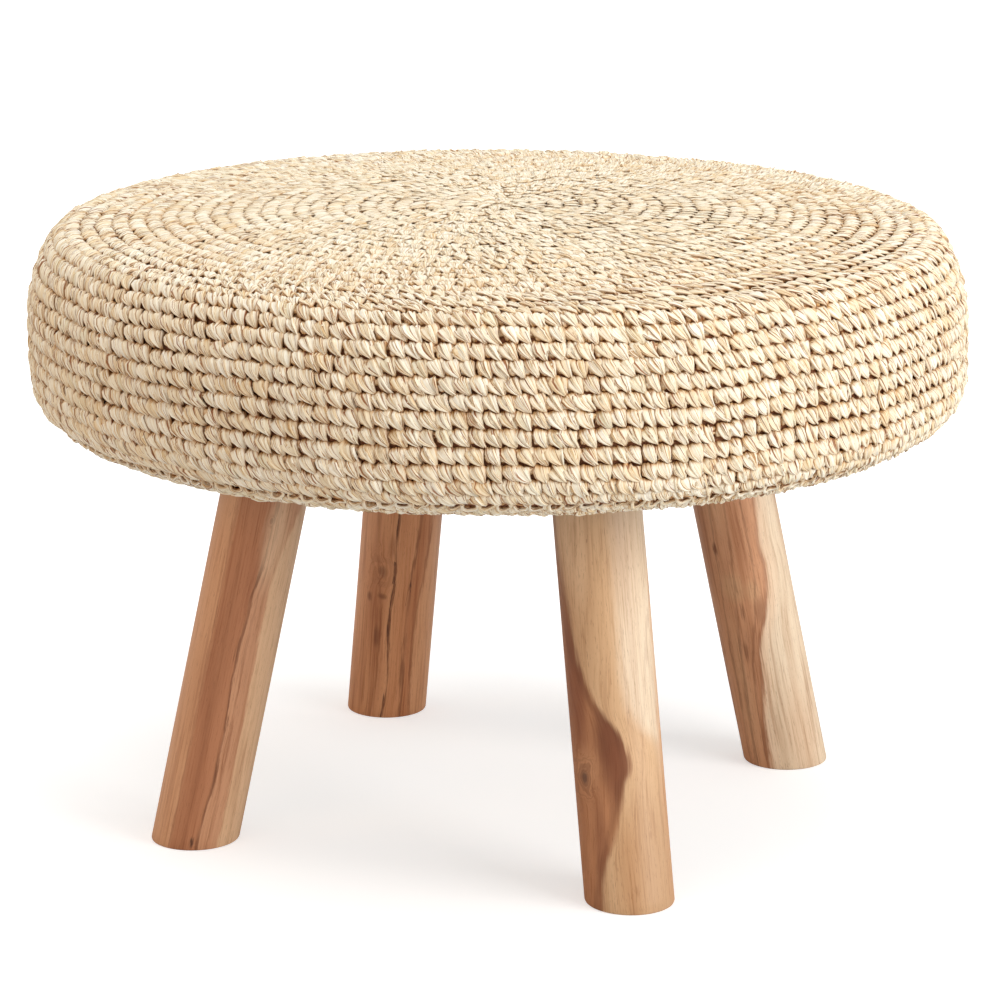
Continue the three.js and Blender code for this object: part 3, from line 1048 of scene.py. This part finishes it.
def guide_mesh(places, facing, relief):
    """A thread of edges that carries the way the seat faces and how full the stitches are as attributes."""
    mesh = bpy.data.meshes.new("guide")
    mesh.from_pydata(places, [(index, index + 1) for index in range(len(places) - 1)], [])
    outwards = mesh.attributes.new("outwards", "FLOAT_VECTOR", "POINT")
    outwards.data.foreach_set("vector", np.array(facing, dtype=np.float32).ravel())
    fullness = mesh.attributes.new("relief", "FLOAT", "POINT")
    fullness.data.foreach_set("value", np.array(relief, dtype=np.float32))
    return mesh


def raffia_material():
    """Dried palm leaf: pale and split lengthwise into fibres, with painted shade in its folds, at its ends
    and underside where it is tucked in, and deep in the fabric.

    The painted shade is fainter on top, where the stitches lie flat, and stronger in the grooves of the
    side's lowest rows.
    """
    bench = ShaderBench("raffia")
    around, along = bench.layout()
    tone, proud = bench.carried("tone"), bench.carried("proud")
    across = around * bench.carried("breadth")
    strand = tone * 137.0
    # How strong the painted shade is: fainter on the flat top, full on the side.
    depth = bench.fade(bench.carried("relief"), TOP_RELIEF, SIDE_RELIEF, 0.36, 1.0)

    def lengthwise(narrow, down):
        return bench.combine(across * narrow, along * down, strand)

    folds = bench.noise(lengthwise(2.6, 0.9), 1.0, detail=1.0)
    fibres = bench.noise(lengthwise(7.5, 1.6), 1.0, roughness=0.6)
    grain = folds * 0.55 + fibres * 0.45
    color = bench.ramp(grain, (0.34, (160, 106, 60)), (0.40, (224, 196, 150)), (0.47, (243, 232, 209)),
                       (0.60, (250, 246, 234)))
    pleats = bench.noise(lengthwise(1.1, 0.7), 1.0, detail=1.0)
    phase = across * 0.5 + bench.math("MULTIPLY_ADD", pleats, 0.9, strand)
    from_fold = abs(bench.math("FRACT", phase) - 0.5)
    # Painted shade along the leaf's folds.
    painted_fold_shade = bench.fade(from_fold, 0.02, 0.10, 0.95, 0.0) * bench.fade(pleats, 0.36, 0.5, 0.2, 1.0)
    color = bench.blend(painted_fold_shade * depth, color, (154, 98, 50), "MULTIPLY")
    leaf_color = bench.ramp(tone, (0.0, (242, 226, 200)), (0.12, (249, 241, 226)), (0.5, (252, 248, 240)),
                            (0.88, (255, 253, 248)), (1.0, (242, 238, 222)))
    color = bench.blend(0.85, color, leaf_color, "MULTIPLY")
    # Painted shade at the strand's ends and underside, where it tucks under its neighbours.
    at_ends, underneath = bench.fade(abs(along - 0.5), 0.32, 0.5), bench.fade(abs(around - 0.375), 0.24, 0.42)
    painted_tuck_shade = bench.math("MAXIMUM", at_ends, underneath) * depth
    color = bench.blend(painted_tuck_shade * 0.6, color, (192, 138, 80), "MULTIPLY")
    # Painted shade: warmer and then dark brown the deeper a spot lies below the strand's crest.
    painted_warm_shade = bench.fade(proud, 2.2, 5.4, 0.9, 0.0) * depth
    color = bench.blend(painted_warm_shade, color, (234, 192, 132), "MULTIPLY")
    painted_deep_shade = bench.fade(proud, 0.4, 3.3, 0.97, 0.0) * depth
    color = bench.blend(painted_deep_shade, color, (116, 58, 28), "MULTIPLY")
    # More painted shade in the deep grooves of the side's lowest rows.
    lower_rows = bench.fade(bench.split(bench.place())[2], 0.27, 0.33, 0.6, 0.0)
    painted_low_shade = bench.fade(proud, 1.6, 4.6, 1.0, 0.0) * lower_rows
    color = bench.blend(painted_low_shade, color, (188, 132, 82), "MULTIPLY")
    return bench.finish(color, 0.62, bench.bump(grain, 0.5 * MM), Specular_IOR_Level=0.35)


def painted_shade_material():
    """Painted shade for raffia deep in the fabric: dark brown between the side's stitches, lighter tan
    between the tighter ones on top.
    """
    bench = ShaderBench("raffia_shade")
    place = bench.place()
    fibres = bench.noise(place, 900.0, detail=3.0)
    # Painted shade: dark brown in the side's deep gaps, lighter tan in the shallower gaps on top.
    deep_gap_shade = bench.ramp(fibres, (0.3, (98, 54, 28)), (0.7, (150, 94, 56)))
    top_gap_shade = bench.ramp(fibres, (0.3, (206, 152, 98)), (0.7, (232, 188, 138)))
    on_top = bench.fade(bench.split(place)[2], 0.368, 0.380, 0.0, 0.9)
    return bench.finish(bench.blend(on_top, deep_gap_shade, top_gap_shade), 0.8, bench.bump(fibres, 0.5 * MM))


def strand_kinds():
    """The strands of the side's stitches, of the flatter ones on top and of the loops at the lower edge.

    A path runs in millimetres, with X along the row, Y across it and Z outwards.
    """
    leaf = ((-2.4, 5.2, 0.0), (-2.3, 4.5, 2.2), (-1.8, 2.9, 4.1), (-0.4, 0.5, 4.7), (1.3, -2.2, 4.4),
            (3.0, -4.7, 3.7), (4.0, -6.5, 2.5))
    flat_leaf = ((-1.6, 5.9, 1.6), (-1.4, 4.9, 3.0), (-1.0, 2.9, 4.1), (-0.2, 0.4, 4.4), (0.8, -2.3, 3.9),
                 (1.7, -4.8, 2.8), (2.2, -6.2, 1.4))
    lobe = ((-3.4, 2.6, 1.4), (-3.6, 1.4, 3.1), (-3.6, -0.2, 3.9), (-3.3, -1.6, 3.4), (-2.9, -2.9, 2.2),
            (-2.6, -3.8, 0.6))
    bedding = ((-6.2, 1.8, 1.0), (-4.6, 1.9, 2.3), (-1.6, 1.6, 2.7), (1.6, 1.4, 2.7), (4.6, 1.6, 2.3),
               (6.2, 1.8, 1.0))
    hair = ((-1.0, 3.0, 2.5), (0.0, 0.5, 4.6), (0.8, -2.5, 5.4), (2.2, -5.5, 5.6), (4.4, -8.2, 5.2),
            (7.5, -10.2, 5.8))
    bar = ((-5.6, 3.4, 1.0), (-4.2, 3.9, 2.4), (-1.5, 4.1, 2.9), (1.5, 3.7, 2.9), (4.2, 3.5, 2.2),
           (5.6, 3.2, 1.0))

    def beside(path, rise):
        """The path of a crease strand, a little narrower than its leaf and further out."""
        return [(x * 0.8 + 0.2, y, z + rise) for x, y, z in path]

    side = {
        "Leaf": strand_family("leaf", leaf, (4.7, 5.8, 5.3, 3.6, 1.5), (1.1, 1.5, 1.5, 1.3, 0.9),
                              section=PLEATED, pleats=0.22, seed=11),
        "Crease": strand_family("crease", beside(leaf, 0.6), (0.8, 1.2, 1.2, 0.9, 0.6),
                                (0.7, 0.9, 0.9, 0.8, 0.6), aside=(-3.4, 3.0), wander=0.5, seed=29),
        "Lobe": strand_family("lobe", lobe, (2.0, 2.7, 2.7, 2.1), (1.1, 1.3, 1.3, 1.1), seed=37),
        "Bar": strand_family("bedding", bedding, (2.2, 2.7, 2.7, 2.2), (1.1, 1.4, 1.4, 1.1),
                             wander=0.3, seed=61),
        "Loose fibre": strand_family("hair", hair, (0.22, 0.24, 0.22, 0.16), (0.2, 0.2, 0.2, 0.15),
                                     section=HAIR, wander=1.2, seed=41),
    }
    top = {
        **side,
        "Leaf": strand_family("top_leaf", flat_leaf, (4.2, 5.2, 5.0, 3.8, 2.0), (1.0, 1.3, 1.3, 1.2, 0.8),
                              section=PLEATED, wander=0.4, pleats=0.22, seed=13),
        "Crease": strand_family("top_crease", beside(flat_leaf, 0.4), (0.8, 1.2, 1.2, 0.9, 0.6),
                                (0.6, 0.8, 0.8, 0.7, 0.5), aside=(-3.2, 2.6), wander=0.5, seed=31),
        "Bar": strand_family("top_bedding", bedding, (3.0, 4.2, 4.2, 3.0), (1.1, 1.4, 1.4, 1.1),
                             wander=0.3, seed=71),
    }
    edge = {
        "Leaf": loop_family("edge_loop", seed=53),
        "Lobe": strand_family("edge_bed", [(x, y - 2.2, z * 0.7) for x, y, z in bedding],
                              (2.0, 2.4, 2.4, 2.0), (1.0, 1.2, 1.2, 1.0), wander=0.6, seed=67),
        "Bar": strand_family("edge_bar", bar, (1.3, 1.6, 1.6, 1.3), (1.1, 1.3, 1.3, 1.1),
                             wander=0.5, seed=59),
        "Loose fibre": side["Loose fibre"],
    }
    return side, top, edge


def raffia_cover(surface):
    """The crocheted cover: rounds of stitches, open loops along the lower edge, and the fabric's back."""
    tree = crochet_tree()
    raffia = raffia_material()
    side, top, edge = strand_kinds()
    settings = {"Stitch width": STITCH_WIDTH, "Looseness": 0.35 * MM, "Uneven spacing": 0.4 * MM,
                "Twist": 0.11, "Size change": 0.06, "Share with a loose fibre": 0.12, "Raffia": raffia}
    loose_settings = {"Stitch width": LOOP_SPACING, "Twist": 0.18, "Share with a loose fibre": 0.3,
                      "Seed": 5000}
    steps = winding(FIRST_ROUND, skin.length - 1 * MM)

    def rounds_between(first_run, last_run):
        return [step for step in steps if first_run <= step[1] < last_run]

    def crocheted(name, part, changes):
        guide = guide_mesh(*guide_points(part, surface))
        mesh = worked(name, guide, tree, {**settings, **changes})
        return new_piece(name, mesh, raffia, "raffia_cover")

    edge_end = EDGE_ROUND_START + ROW_HEIGHT
    parts = []
    for first_run, last_run, count, strands in (
        (0, TOP_ROUNDS_END, TOP_PIECES, top),
        (TOP_ROUNDS_END, EDGE_ROUND_START, SIDE_PIECES, side),
        (edge_end, skin.length, UNDER_PIECES, side),
    ):
        parts += [(part, strands) for part in shared_out(rounds_between(first_run, last_run), count)]
    rounds = [crocheted(f"raffia_rounds_{number}", part, {**strands, "Seed": 100 * number})
              for number, (part, strands) in enumerate(parts, start=1)]
    loops = rounds_between(EDGE_ROUND_START, edge_end)
    rounds.append(crocheted("raffia_edge_round", loops, {**edge, **loose_settings}))
    put_away({*side.values(), *top.values(), *edge.values()})
    # The fabric's back, a shell under the stitches coloured with painted shade where it shows through the
    # gaps.
    outer, inner = (SeatSkin(depth) for depth in BACKING_DEPTHS)
    outline = list(zip(outer.radius[::12], outer.height[::12]))
    outline += list(zip(inner.radius[::12], inner.height[::12]))[::-1]
    mesh = wheel("raffia_backing", outline, ROUND_SEGMENTS)
    back = new_piece("raffia_backing", mesh, painted_shade_material(), "raffia_cover")


# Legs


def leg_frame(number):
    """Matrix from a leg's own frame, with its axis up and its X towards the photograph's camera."""
    angle = leg_angle(number)
    lean = -math.sin(LEG_SPLAY)
    axis = Vector((lean * math.cos(angle), lean * math.sin(angle), math.cos(LEG_SPLAY)))
    to_camera = Vector((math.cos(CAMERA_AZIMUTH), math.sin(CAMERA_AZIMUTH), 0))
    across = axis.cross(to_camera).normalized()
    front = across.cross(axis)
    foot = Vector((FOOT_RADIUS * math.cos(angle), FOOT_RADIUS * math.sin(angle), 0))
    return Matrix.Translation(foot) @ Matrix((front, across, axis)).transposed().to_4x4()


def leg_mesh(name, frame_of_leg, seed):
    """A turned leg: level and eased at the foot, square and eased at the top, with a hand-sanded waver."""
    down = frame_of_leg.to_3x3().inverted() @ Vector((0, 0, 1))
    eased = ((1 - LEG_EASE / LEG_RADIUS, 0.0), (1 - 0.3 * LEG_EASE / LEG_RADIUS, 0.3 * LEG_EASE),
             (1.0, LEG_EASE))

    def ring(share, height, level=False):
        """Places at a share of the leg's radius, square to the leg or level with the floor."""
        row = []
        for step in range(LEG_SIDES):
            turn = FULL_TURN * step / LEG_SIDES
            x, y = LEG_RADIUS * share * math.cos(turn), LEG_RADIUS * share * math.sin(turn)
            row.append(Vector((x, y, (height - x * down.x - y * down.y) / down.z if level else height)))
        return row

    rows = [ring(share, rise, level=True) for share, rise in ((0.0, 0.0), (0.55, 0.0), (0.92, 0.0), *eased)]
    feet = rows[-1]
    for step_up in range(1, LEG_BODIES):
        share = step_up / LEG_BODIES
        row = []
        for foot in feet:
            spot = foot.lerp(Vector((foot.x, foot.y, LEG_LENGTH - LEG_EASE)), share)
            waver = LEG_WAVER * noise.noise(Vector((spot.x * 14, spot.y * 14, spot.z * 9 + seed)))
            waver *= math.sin(math.pi * share) ** 0.5
            spot.x *= 1 - abs(waver) / LEG_RADIUS
            spot.y *= 1 - abs(waver) / LEG_RADIUS
            row.append(spot)
        rows.append(row)
    rows += [ring(share, LEG_LENGTH - drop) for share, drop in (*eased[::-1], (0.6, 0.0), (0.0, 0.0))]
    places = [frame_of_leg @ spot for row in rows for spot in row]
    faces = []
    for start in range(0, (len(rows) - 1) * LEG_SIDES, LEG_SIDES):
        for step in range(LEG_SIDES):
            after = (step + 1) % LEG_SIDES
            faces.append([start + step, start + after, start + LEG_SIDES + after, start + LEG_SIDES + step])
    return smooth_mesh(name, places, faces, merge=1e-7)


def across_leg(bench, height, line):
    """How far to the side a line over the leg's front lies. Its course is (height, side) in millimetres."""
    curve = bench.add("ShaderNodeFloatCurve", {"Value": height * (1 / FIGURE_HEIGHT)})
    points = curve.mapping.curves[0].points
    for _ in line[2:]:
        points.new(0.5, 0.5)
    for point, (level, side) in zip(points, line):
        point.location = (level / FIGURE_HEIGHT, 0.5 + side / FIGURE_WIDTH)
    curve.mapping.update()
    return bench.math("SUBTRACT", curve, 0.5) * FIGURE_WIDTH


def teak_material(name, frame_of_leg, wood):
    """Teak with its figure: heartwood and sapwood, dark lines, knots, fine grain and open vessels, and spots
    of painted light and painted shade.

    The pattern lives in the leg's own frame, in millimetres: X to the front, Y across and Z up the leg.
    """
    bench = ShaderBench(name)
    x, y, z = bench.split(bench.add("ShaderNodeMapping", {
        "Vector": bench.place(), "Location": tuple(frame_of_leg.translation),
        "Rotation": tuple(frame_of_leg.to_euler()), "Scale": (MM, MM, MM),
    }, vector_type="TEXTURE"))
    seed = wood["seed"]

    def grain(side, across, lengthwise, detail=2.0, roughness=0.5):
        """Noise drawn out along the leg: its size across the grain and along it in millimetres."""
        spot = bench.combine(side * (1 / across), z * (1 / lengthwise), x * (0.25 / across) + seed)
        return bench.noise(spot, 1.0, detail, roughness)

    def distance(across, up):
        return bench.math("SQRT", across * across + up * up)

    sway = bench.noise(bench.combine(x * 0.035, y * 0.02, z * 0.009 + seed), 1.0, 1.0)
    side = y + (sway - 0.5) * wood["sway"]
    main = across_leg(bench, z, wood["course"])
    nearness = bench.math("EXPONENT", bench.math("POWER", (side - main) * (1 / COURSE_REACH), 2.0) * -1.0)
    lines = side - main * nearness * 0.4
    front = bench.fade(x, -4.0, 6.0)
    knots = []
    rough = bench.noise(bench.combine(y * 0.16, z * 0.11, seed), 1.0)
    for knot_y, knot_z, width, height, push, strength in wood["knots"]:
        apart = distance((y - knot_y) * (1 / width), (z - knot_z) * (1 / height)) * (rough * 1.4 + 0.3)
        close = bench.math("EXPONENT", apart * apart * -0.35) * front
        lines = lines + close * push
        knots.append((apart, strength))
    ragged = (grain(lines, 1.3, 22.0, 3.0, 0.65) - 0.5) * 5.0
    edge = side + ragged

    def figure_and_painted_light_spots(color, spots):
        """Blends soft spots of another colour in, each with its place, size, colour and strength."""
        for spot_y, spot_z, width, height, tint, strength in spots:
            apart = distance((y - spot_y + ragged) * (1 / width), (z - spot_z) * (1 / height))
            color = bench.blend(bench.fade(apart, 0.3, 1.3, strength, 0.0) * front, color, tint)
        return color

    color = figure_and_painted_light_spots(wood["ground"], wood["heart"])
    for line, softness, tint in wood["edges"]:
        share = bench.fade(edge - across_leg(bench, z, line), -softness, softness)
        color = bench.blend(share, color, tint)
    for line, width, tint, strength in wood["lines"]:
        apart = abs(edge - across_leg(bench, z, line))
        broken = bench.fade(grain(lines, 6.0, 28.0), 0.3, 0.6, 0.45, 1.0)
        color = bench.blend(bench.fade(apart, 0.2 * width, width, strength, 0.0) * broken, color, tint)
    # Marks in the wood, and spots of painted light and painted shade near the leg's top and foot.
    color = figure_and_painted_light_spots(color, wood["marks_and_painted_light"])
    white = (255, 255, 255)
    fine = grain(lines, 0.8, 40.0, 3.0, 0.6)
    for growth, strength, *stops in (
        (grain(lines, 9.0, 150.0, 1.0), wood["streaks"],
         (0.30, (202, 172, 146)), (0.46, (250, 247, 243)), (0.6, white)),
        (grain(lines, 2.6, 110.0, 2.0, 0.55), wood["streaks"],
         (0.32, (190, 158, 134)), (0.44, (248, 244, 239)), (0.6, white)),
        (fine, 0.6, (0.3, (206, 184, 164)), (0.46, (251, 249, 246)), (0.64, white)),
    ):
        color = bench.blend(strength, color, bench.ramp(growth, *stops), "MULTIPLY")
    vessels = bench.noise(bench.combine(lines * 2.6, x * 2.6, z * 0.16), 1.0, 2.0, 0.6)
    color = bench.blend(bench.fade(vessels, 0.60, 0.70, 0.0, 0.42), color, (118, 74, 46))
    for apart, strength in knots:
        rings = bench.noise(bench.combine(apart * 2.2, seed), 1.0, 1.0)
        ringed = bench.fade(rings, 0.42, 0.58) * (bench.fade(apart, 1.0, 3.0, strength, 0.0) * front)
        color = bench.blend(ringed * 0.5, color, (120, 74, 48))
        color = bench.blend(bench.fade(apart, 0.3, 1.0, strength, 0.0) * front, color, (96, 62, 44))
    normal = bench.bump(vessels, -0.06 * MM, 0.5, bench.bump(fine, 0.10 * MM, 0.4))
    return bench.finish(color, bench.fade(fine, 0.2, 0.8, 0.56, 0.44), normal, Specular_IOR_Level=0.35)


def beside_line(course, aside):
    """The same course, this many millimetres further to the side."""
    return tuple((level, side + aside) for level, side in course)


def teak_figures():
    """Each leg's figure as its front shows it, with spots of painted light and painted shade: courses of
    edges and lines as (height up the leg, side).
    """
    dark, line, crack = (142, 88, 56), (112, 66, 40), (74, 46, 34)
    honey, cream = (214, 176, 136), (230, 208, 180)
    seam = ((0, 2.5), (25, 2.8), (39, 4.6), (64, 4.2), (80, 5.2), (105, 3.6), (130, 3.4), (150, 4.8),
            (167, 5.2), (182, 7.3), (203, 9), (260, 9))
    split = ((0, -4.6), (37, -1.4), (84, -2.9), (114, -1.3), (153, -1.7), (260, 0))
    heart_side = ((0, 9), (25, 9.8), (72, 8.8), (110, 9.5), (150, 13), (260, 14))
    sap_side = ((0, 16), (84, 15), (130, 20), (260, 24))
    wedge = ((0, -16.5), (24, -13), (38, -7.2), (56, -1.6), (74, 3), (86, 6.9), (96, 5), (104, 2),
             (116, -5.8), (130, -13.6), (141, -16.9), (151, -19.6), (171, -21.5), (197, -23.5),
             (240, -26.5), (260, -28))
    back_edge = ((0, -9.6), (36, -9.4), (56, -6.5), (76, -2.9), (91, -2), (104, 1.7), (120, 8), (132, 10.3),
                 (150, 12), (166, 10.7), (186, 12.6), (260, 15))
    return {
        "front_left": {
            "seed": 3.1, "sway": 1.2, "streaks": 0.3, "ground": (212, 160, 120), "course": seam,
            "heart": (),
            "edges": (
                (((0, -15), (260, -14)), 2.2, (182, 124, 88)),
                (seam, 1.6, (202, 150, 114)),
                (((0, 15), (50, 15), (100, 15), (150, 14.5), (175, 15), (195, 18), (215, 22), (260, 30)), 0.9,
                 (224, 184, 146)),
            ),
            "lines": (
                (seam, 1.3, line, 0.75),
                (((0, 8), (60, 9), (120, 8), (167, 9), (205, 11.5), (260, 12)), 1.0, dark, 0.5),
                (((0, -15), (260, -15)), 1.2, dark, 0.35),
                (((0, -7), (120, -6), (260, -8)), 1.4, dark, 0.25),
            ),
            # The pale spot near the top on the right is painted light that lifts the seat's shadow.
            "marks_and_painted_light": ((-1.5, 3, 0.7, 4, crack, 0.9), (-6, 120, 6, 70, dark, 0.25),
                        (12, 205, 8, 36, (238, 208, 172), 0.45)),
            "knots": ((8, 216, 1.2, 2.6, 2, 0.3),),
        },
        "back_left": {
            "seed": 7.4, "sway": 3.0, "streaks": 0.45, "ground": (212, 154, 112), "course": split,
            "heart": ((-12, 110, 9, 50, (184, 122, 82), 0.5),),
            "edges": (
                (((0, -1), (150, 1), (260, 1)), 3.0, (204, 144, 102)),
                (heart_side, 2.0, (186, 124, 84)),
                (sap_side, 2.4, (210, 154, 112)),
            ),
            "lines": (
                (split, 1.5, line, 0.85),
                (beside_line(split, -0.4), 0.6, crack, 0.7),
                (heart_side, 1.5, line, 0.6),
                (sap_side, 1.3, dark, 0.55),
                (((0, -12), (80, -9), (150, -15), (260, -15)), 1.2, dark, 0.35),
            ),
            "marks_and_painted_light": ((-11, 69, 2.5, 9, line, 0.5), (9.5, 110, 0.8, 5, crack, 0.9),
                        (-9, 101, 3.5, 2.5, line, 0.6), (-18, 98, 1.8, 4, line, 0.6),
                        (-5, 140, 3, 12, dark, 0.5), (8, 40, 1.6, 16, line, 0.5)),
            "knots": ((-10, 120, 4.4, 7, -5, 0.4),),
        },
        "front_right": {
            "seed": 12.2, "sway": 1.2, "streaks": 0.25, "ground": (186, 130, 90), "course": wedge,
            "heart": ((-4, 102, 11, 36, (116, 66, 40), 0.95), (1, 74, 9, 30, (124, 72, 44), 0.8),
                      (-22, 140, 7, 58, (138, 82, 52), 0.85), (-14, 30, 5, 44, (140, 86, 56), 0.6)),
            "edges": (
                (wedge, 2.4, honey),
                (((0, 33), (60, 29), (92, 26), (98, 23), (108, 15), (125, 8), (200, 7), (260, 8)), 6.0,
                 cream),
                (((0, 24), (60, 25), (110, 25.8), (150, 26.8), (200, 27.6), (240, 30), (260, 32)), 2.0,
                 (204, 156, 114)),
            ),
            "lines": (
                (beside_line(wedge, -2.6), 4.4, line, 0.45),
                (((0, 4), (60, 6), (110, 8), (260, 6)), 1.0, dark, 0.2),
                (((0, 13), (60, 13), (110, 17), (260, FIGURE_WIDTH / 2)), 1.0, dark, 0.2),
            ),
            # The two darker spots low down are painted shade towards the foot, the darker spot at the top on
            # the right is the seat's painted shadow, and the pale spot at the top on the left is painted
            # light on the shaded side.
            "marks_and_painted_light": ((5, 9, 0.8, 4, line, 0.7), (16, 42, 1.2, 3, dark, 0.5),
                        (-19, 86, 8, 14, (198, 146, 106), 0.6), (2, 20, 10, 44, (190, 144, 102), 0.7),
                        (18, 20, 12, 60, (188, 148, 112), 0.65),
                        (14, 240, 18, 60, (200, 166, 132), 0.6), (-16, 226, 10, 50, (242, 208, 170), 0.8)),
            "knots": ((-21, 79, 3, 6.6, 9, 0.85),),
        },
        "back_right": {
            "seed": 21.5, "sway": 2.0, "streaks": 0.5, "ground": (212, 158, 120), "course": back_edge,
            "heart": ((-4, 90, 8, 30, dark, 0.4), (4, 118, 6, 12, line, 0.45),
                      (-4, 168, 9, 24, dark, 0.15), (-12, 138, 8, 12, honey, 0.45),
                      (0, 134, 6, 9, honey, 0.4), (-18, 60, 5, 60, honey, 0.3)),
            "edges": (
                (back_edge, 2.0, (236, 208, 178)),
                (beside_line(back_edge, 6), 4.0, cream),
            ),
            "lines": (
                (beside_line(back_edge, -1.2), 1.8, dark, 0.5),
                (((0, -20), (80, -16), (180, -8), (260, -8)), 1.3, line, 0.5),
                (((0, -13), (80, -9), (140, 3), (200, 4), (260, 4)), 1.2, line, 0.45),
                (((0, -23), (100, -21), (180, -18), (260, -16)), 1.0, line, 0.4),
            ),
            # The darker spot low on the right is painted shade towards the foot, and the pale spot near the
            # top on the left is painted light that lifts the seat's shadow.
            "marks_and_painted_light": ((-18.7, 166, 1.2, 5, line, 0.7), (-9, 120, 1.4, 7, line, 0.6),
                        (-12, 92, 1.6, 8, line, 0.5), (14, 24, 12, 44, (206, 168, 134), 0.5),
                        (-14, 214, 8, 34, (230, 182, 142), 0.55)),
            "knots": (),
        },
    }


def legs():
    """The four legs, each with its own figure."""
    figures = teak_figures()
    for number, name in enumerate(LEG_NAMES):
        frame_of_leg = leg_frame(number)
        teak = teak_material(f"teak_{name}", frame_of_leg, figures[name])
        mesh = leg_mesh(f"teak_leg_{name}", frame_of_leg, figures[name]["seed"])
        new_piece(f"teak_leg_{name}", mesh, teak, f"leg_{name}")


# Camera, floor and light


def camera():
    """Looks at the stool as the photograph does."""
    towards = Vector((-math.cos(CAMERA_AZIMUTH) * math.cos(CAMERA_PITCH),
                      -math.sin(CAMERA_AZIMUTH) * math.cos(CAMERA_PITCH), -math.sin(CAMERA_PITCH)))
    right = Vector((-math.sin(CAMERA_AZIMUTH), math.cos(CAMERA_AZIMUTH), 0))
    lens = bpy.data.cameras.new("camera")
    lens.lens = CAMERA_LENS
    lens.sensor_width = SENSOR_WIDTH
    lens.clip_end = 50
    viewer = set_down("camera", lens)
    aim = Vector((0, 0, CAMERA_AIM_HEIGHT)) + right * CAMERA_AIM_SIDEWAYS
    viewer.location = aim - towards * CAMERA_DISTANCE
    viewer.rotation_euler = towards.to_track_quat("-Z", "Y").to_euler()
    bpy.context.scene.camera = viewer


def softbox(name, azimuth, elevation, distance, size, watts, color):
    """A soft square lamp that looks at the seat."""
    angle = CAMERA_AZIMUTH + math.radians(azimuth)
    rise = math.radians(elevation)
    direction = Vector((math.cos(angle) * math.cos(rise), math.sin(angle) * math.cos(rise), math.sin(rise)))
    lamp = bpy.data.lights.new(name, "AREA")
    lamp.energy = watts
    lamp.size = size
    lamp.color = shade(color)[:3]
    box = set_down(name, lamp)
    box.location = Vector((0, 0, LAMPS_AIM_HEIGHT)) + direction * distance
    box.rotation_euler = direction.to_track_quat("Z", "Y").to_euler()


def daylight():
    """An even white world, fully bright where the camera or a reflection sees it and dimmer as a light."""
    world = bpy.data.worlds.new("studio")
    bpy.context.scene.world = world
    world.use_nodes = True
    bench = Bench(world.node_tree)
    ray = bench.add("ShaderNodeLightPath").outputs
    seen = bench.math("MAXIMUM", ray["Is Camera Ray"], ray["Is Glossy Ray"])
    seen = bench.math("MAXIMUM", seen, ray["Is Transmission Ray"])
    strength = bench.add("ShaderNodeMapRange", {"Value": seen, "To Min": WORLD_STRENGTH, "To Max": 1.0})
    surface = world.node_tree.nodes["Background"]
    bench.join((1, 1, 1, 1), surface.inputs["Color"])
    bench.join(strength, surface.inputs["Strength"])


def floor():
    """A pale floor that glows more towards its edges for the camera, so that it runs into the background."""
    mesh = bpy.data.meshes.new("floor")
    corners = [(x * FLOOR_REACH, y * FLOOR_REACH, 0) for x, y in ((-1, -1), (1, -1), (1, 1), (-1, 1))]
    mesh.from_pydata(corners, [], [(0, 1, 2, 3)])
    bench = ShaderBench("floor")
    mesh.materials.append(bench.finish((220, 220, 220), 0.9, Specular_IOR_Level=0.0))
    ray = bench.add("ShaderNodeLightPath").outputs["Is Camera Ray"]
    away = bench.add("ShaderNodeVectorMath", {0: bench.place()}, operation="LENGTH").outputs["Value"]
    lift = bench.fade(away, 0.35, 1.6, 0.54, 0.94)
    glow = bench.add("ShaderNodeEmission", {"Color": (1, 1, 1, 1), "Strength": lift * ray})
    both = bench.add("ShaderNodeAddShader", {0: bench.surface, 1: glow})
    bench.join(both, bench.tree.nodes["Material Output"].inputs["Surface"])
    set_down("floor", mesh)


camera()
daylight()
for lamp_name, lamp_settings in LAMPS.items():
    softbox(lamp_name, *lamp_settings)
floor()
padding = puffed_pad()
raffia_cover(padding)
seat_inside(padding)
legs()

bpy.context.scene.view_settings.view_transform = "Standard"
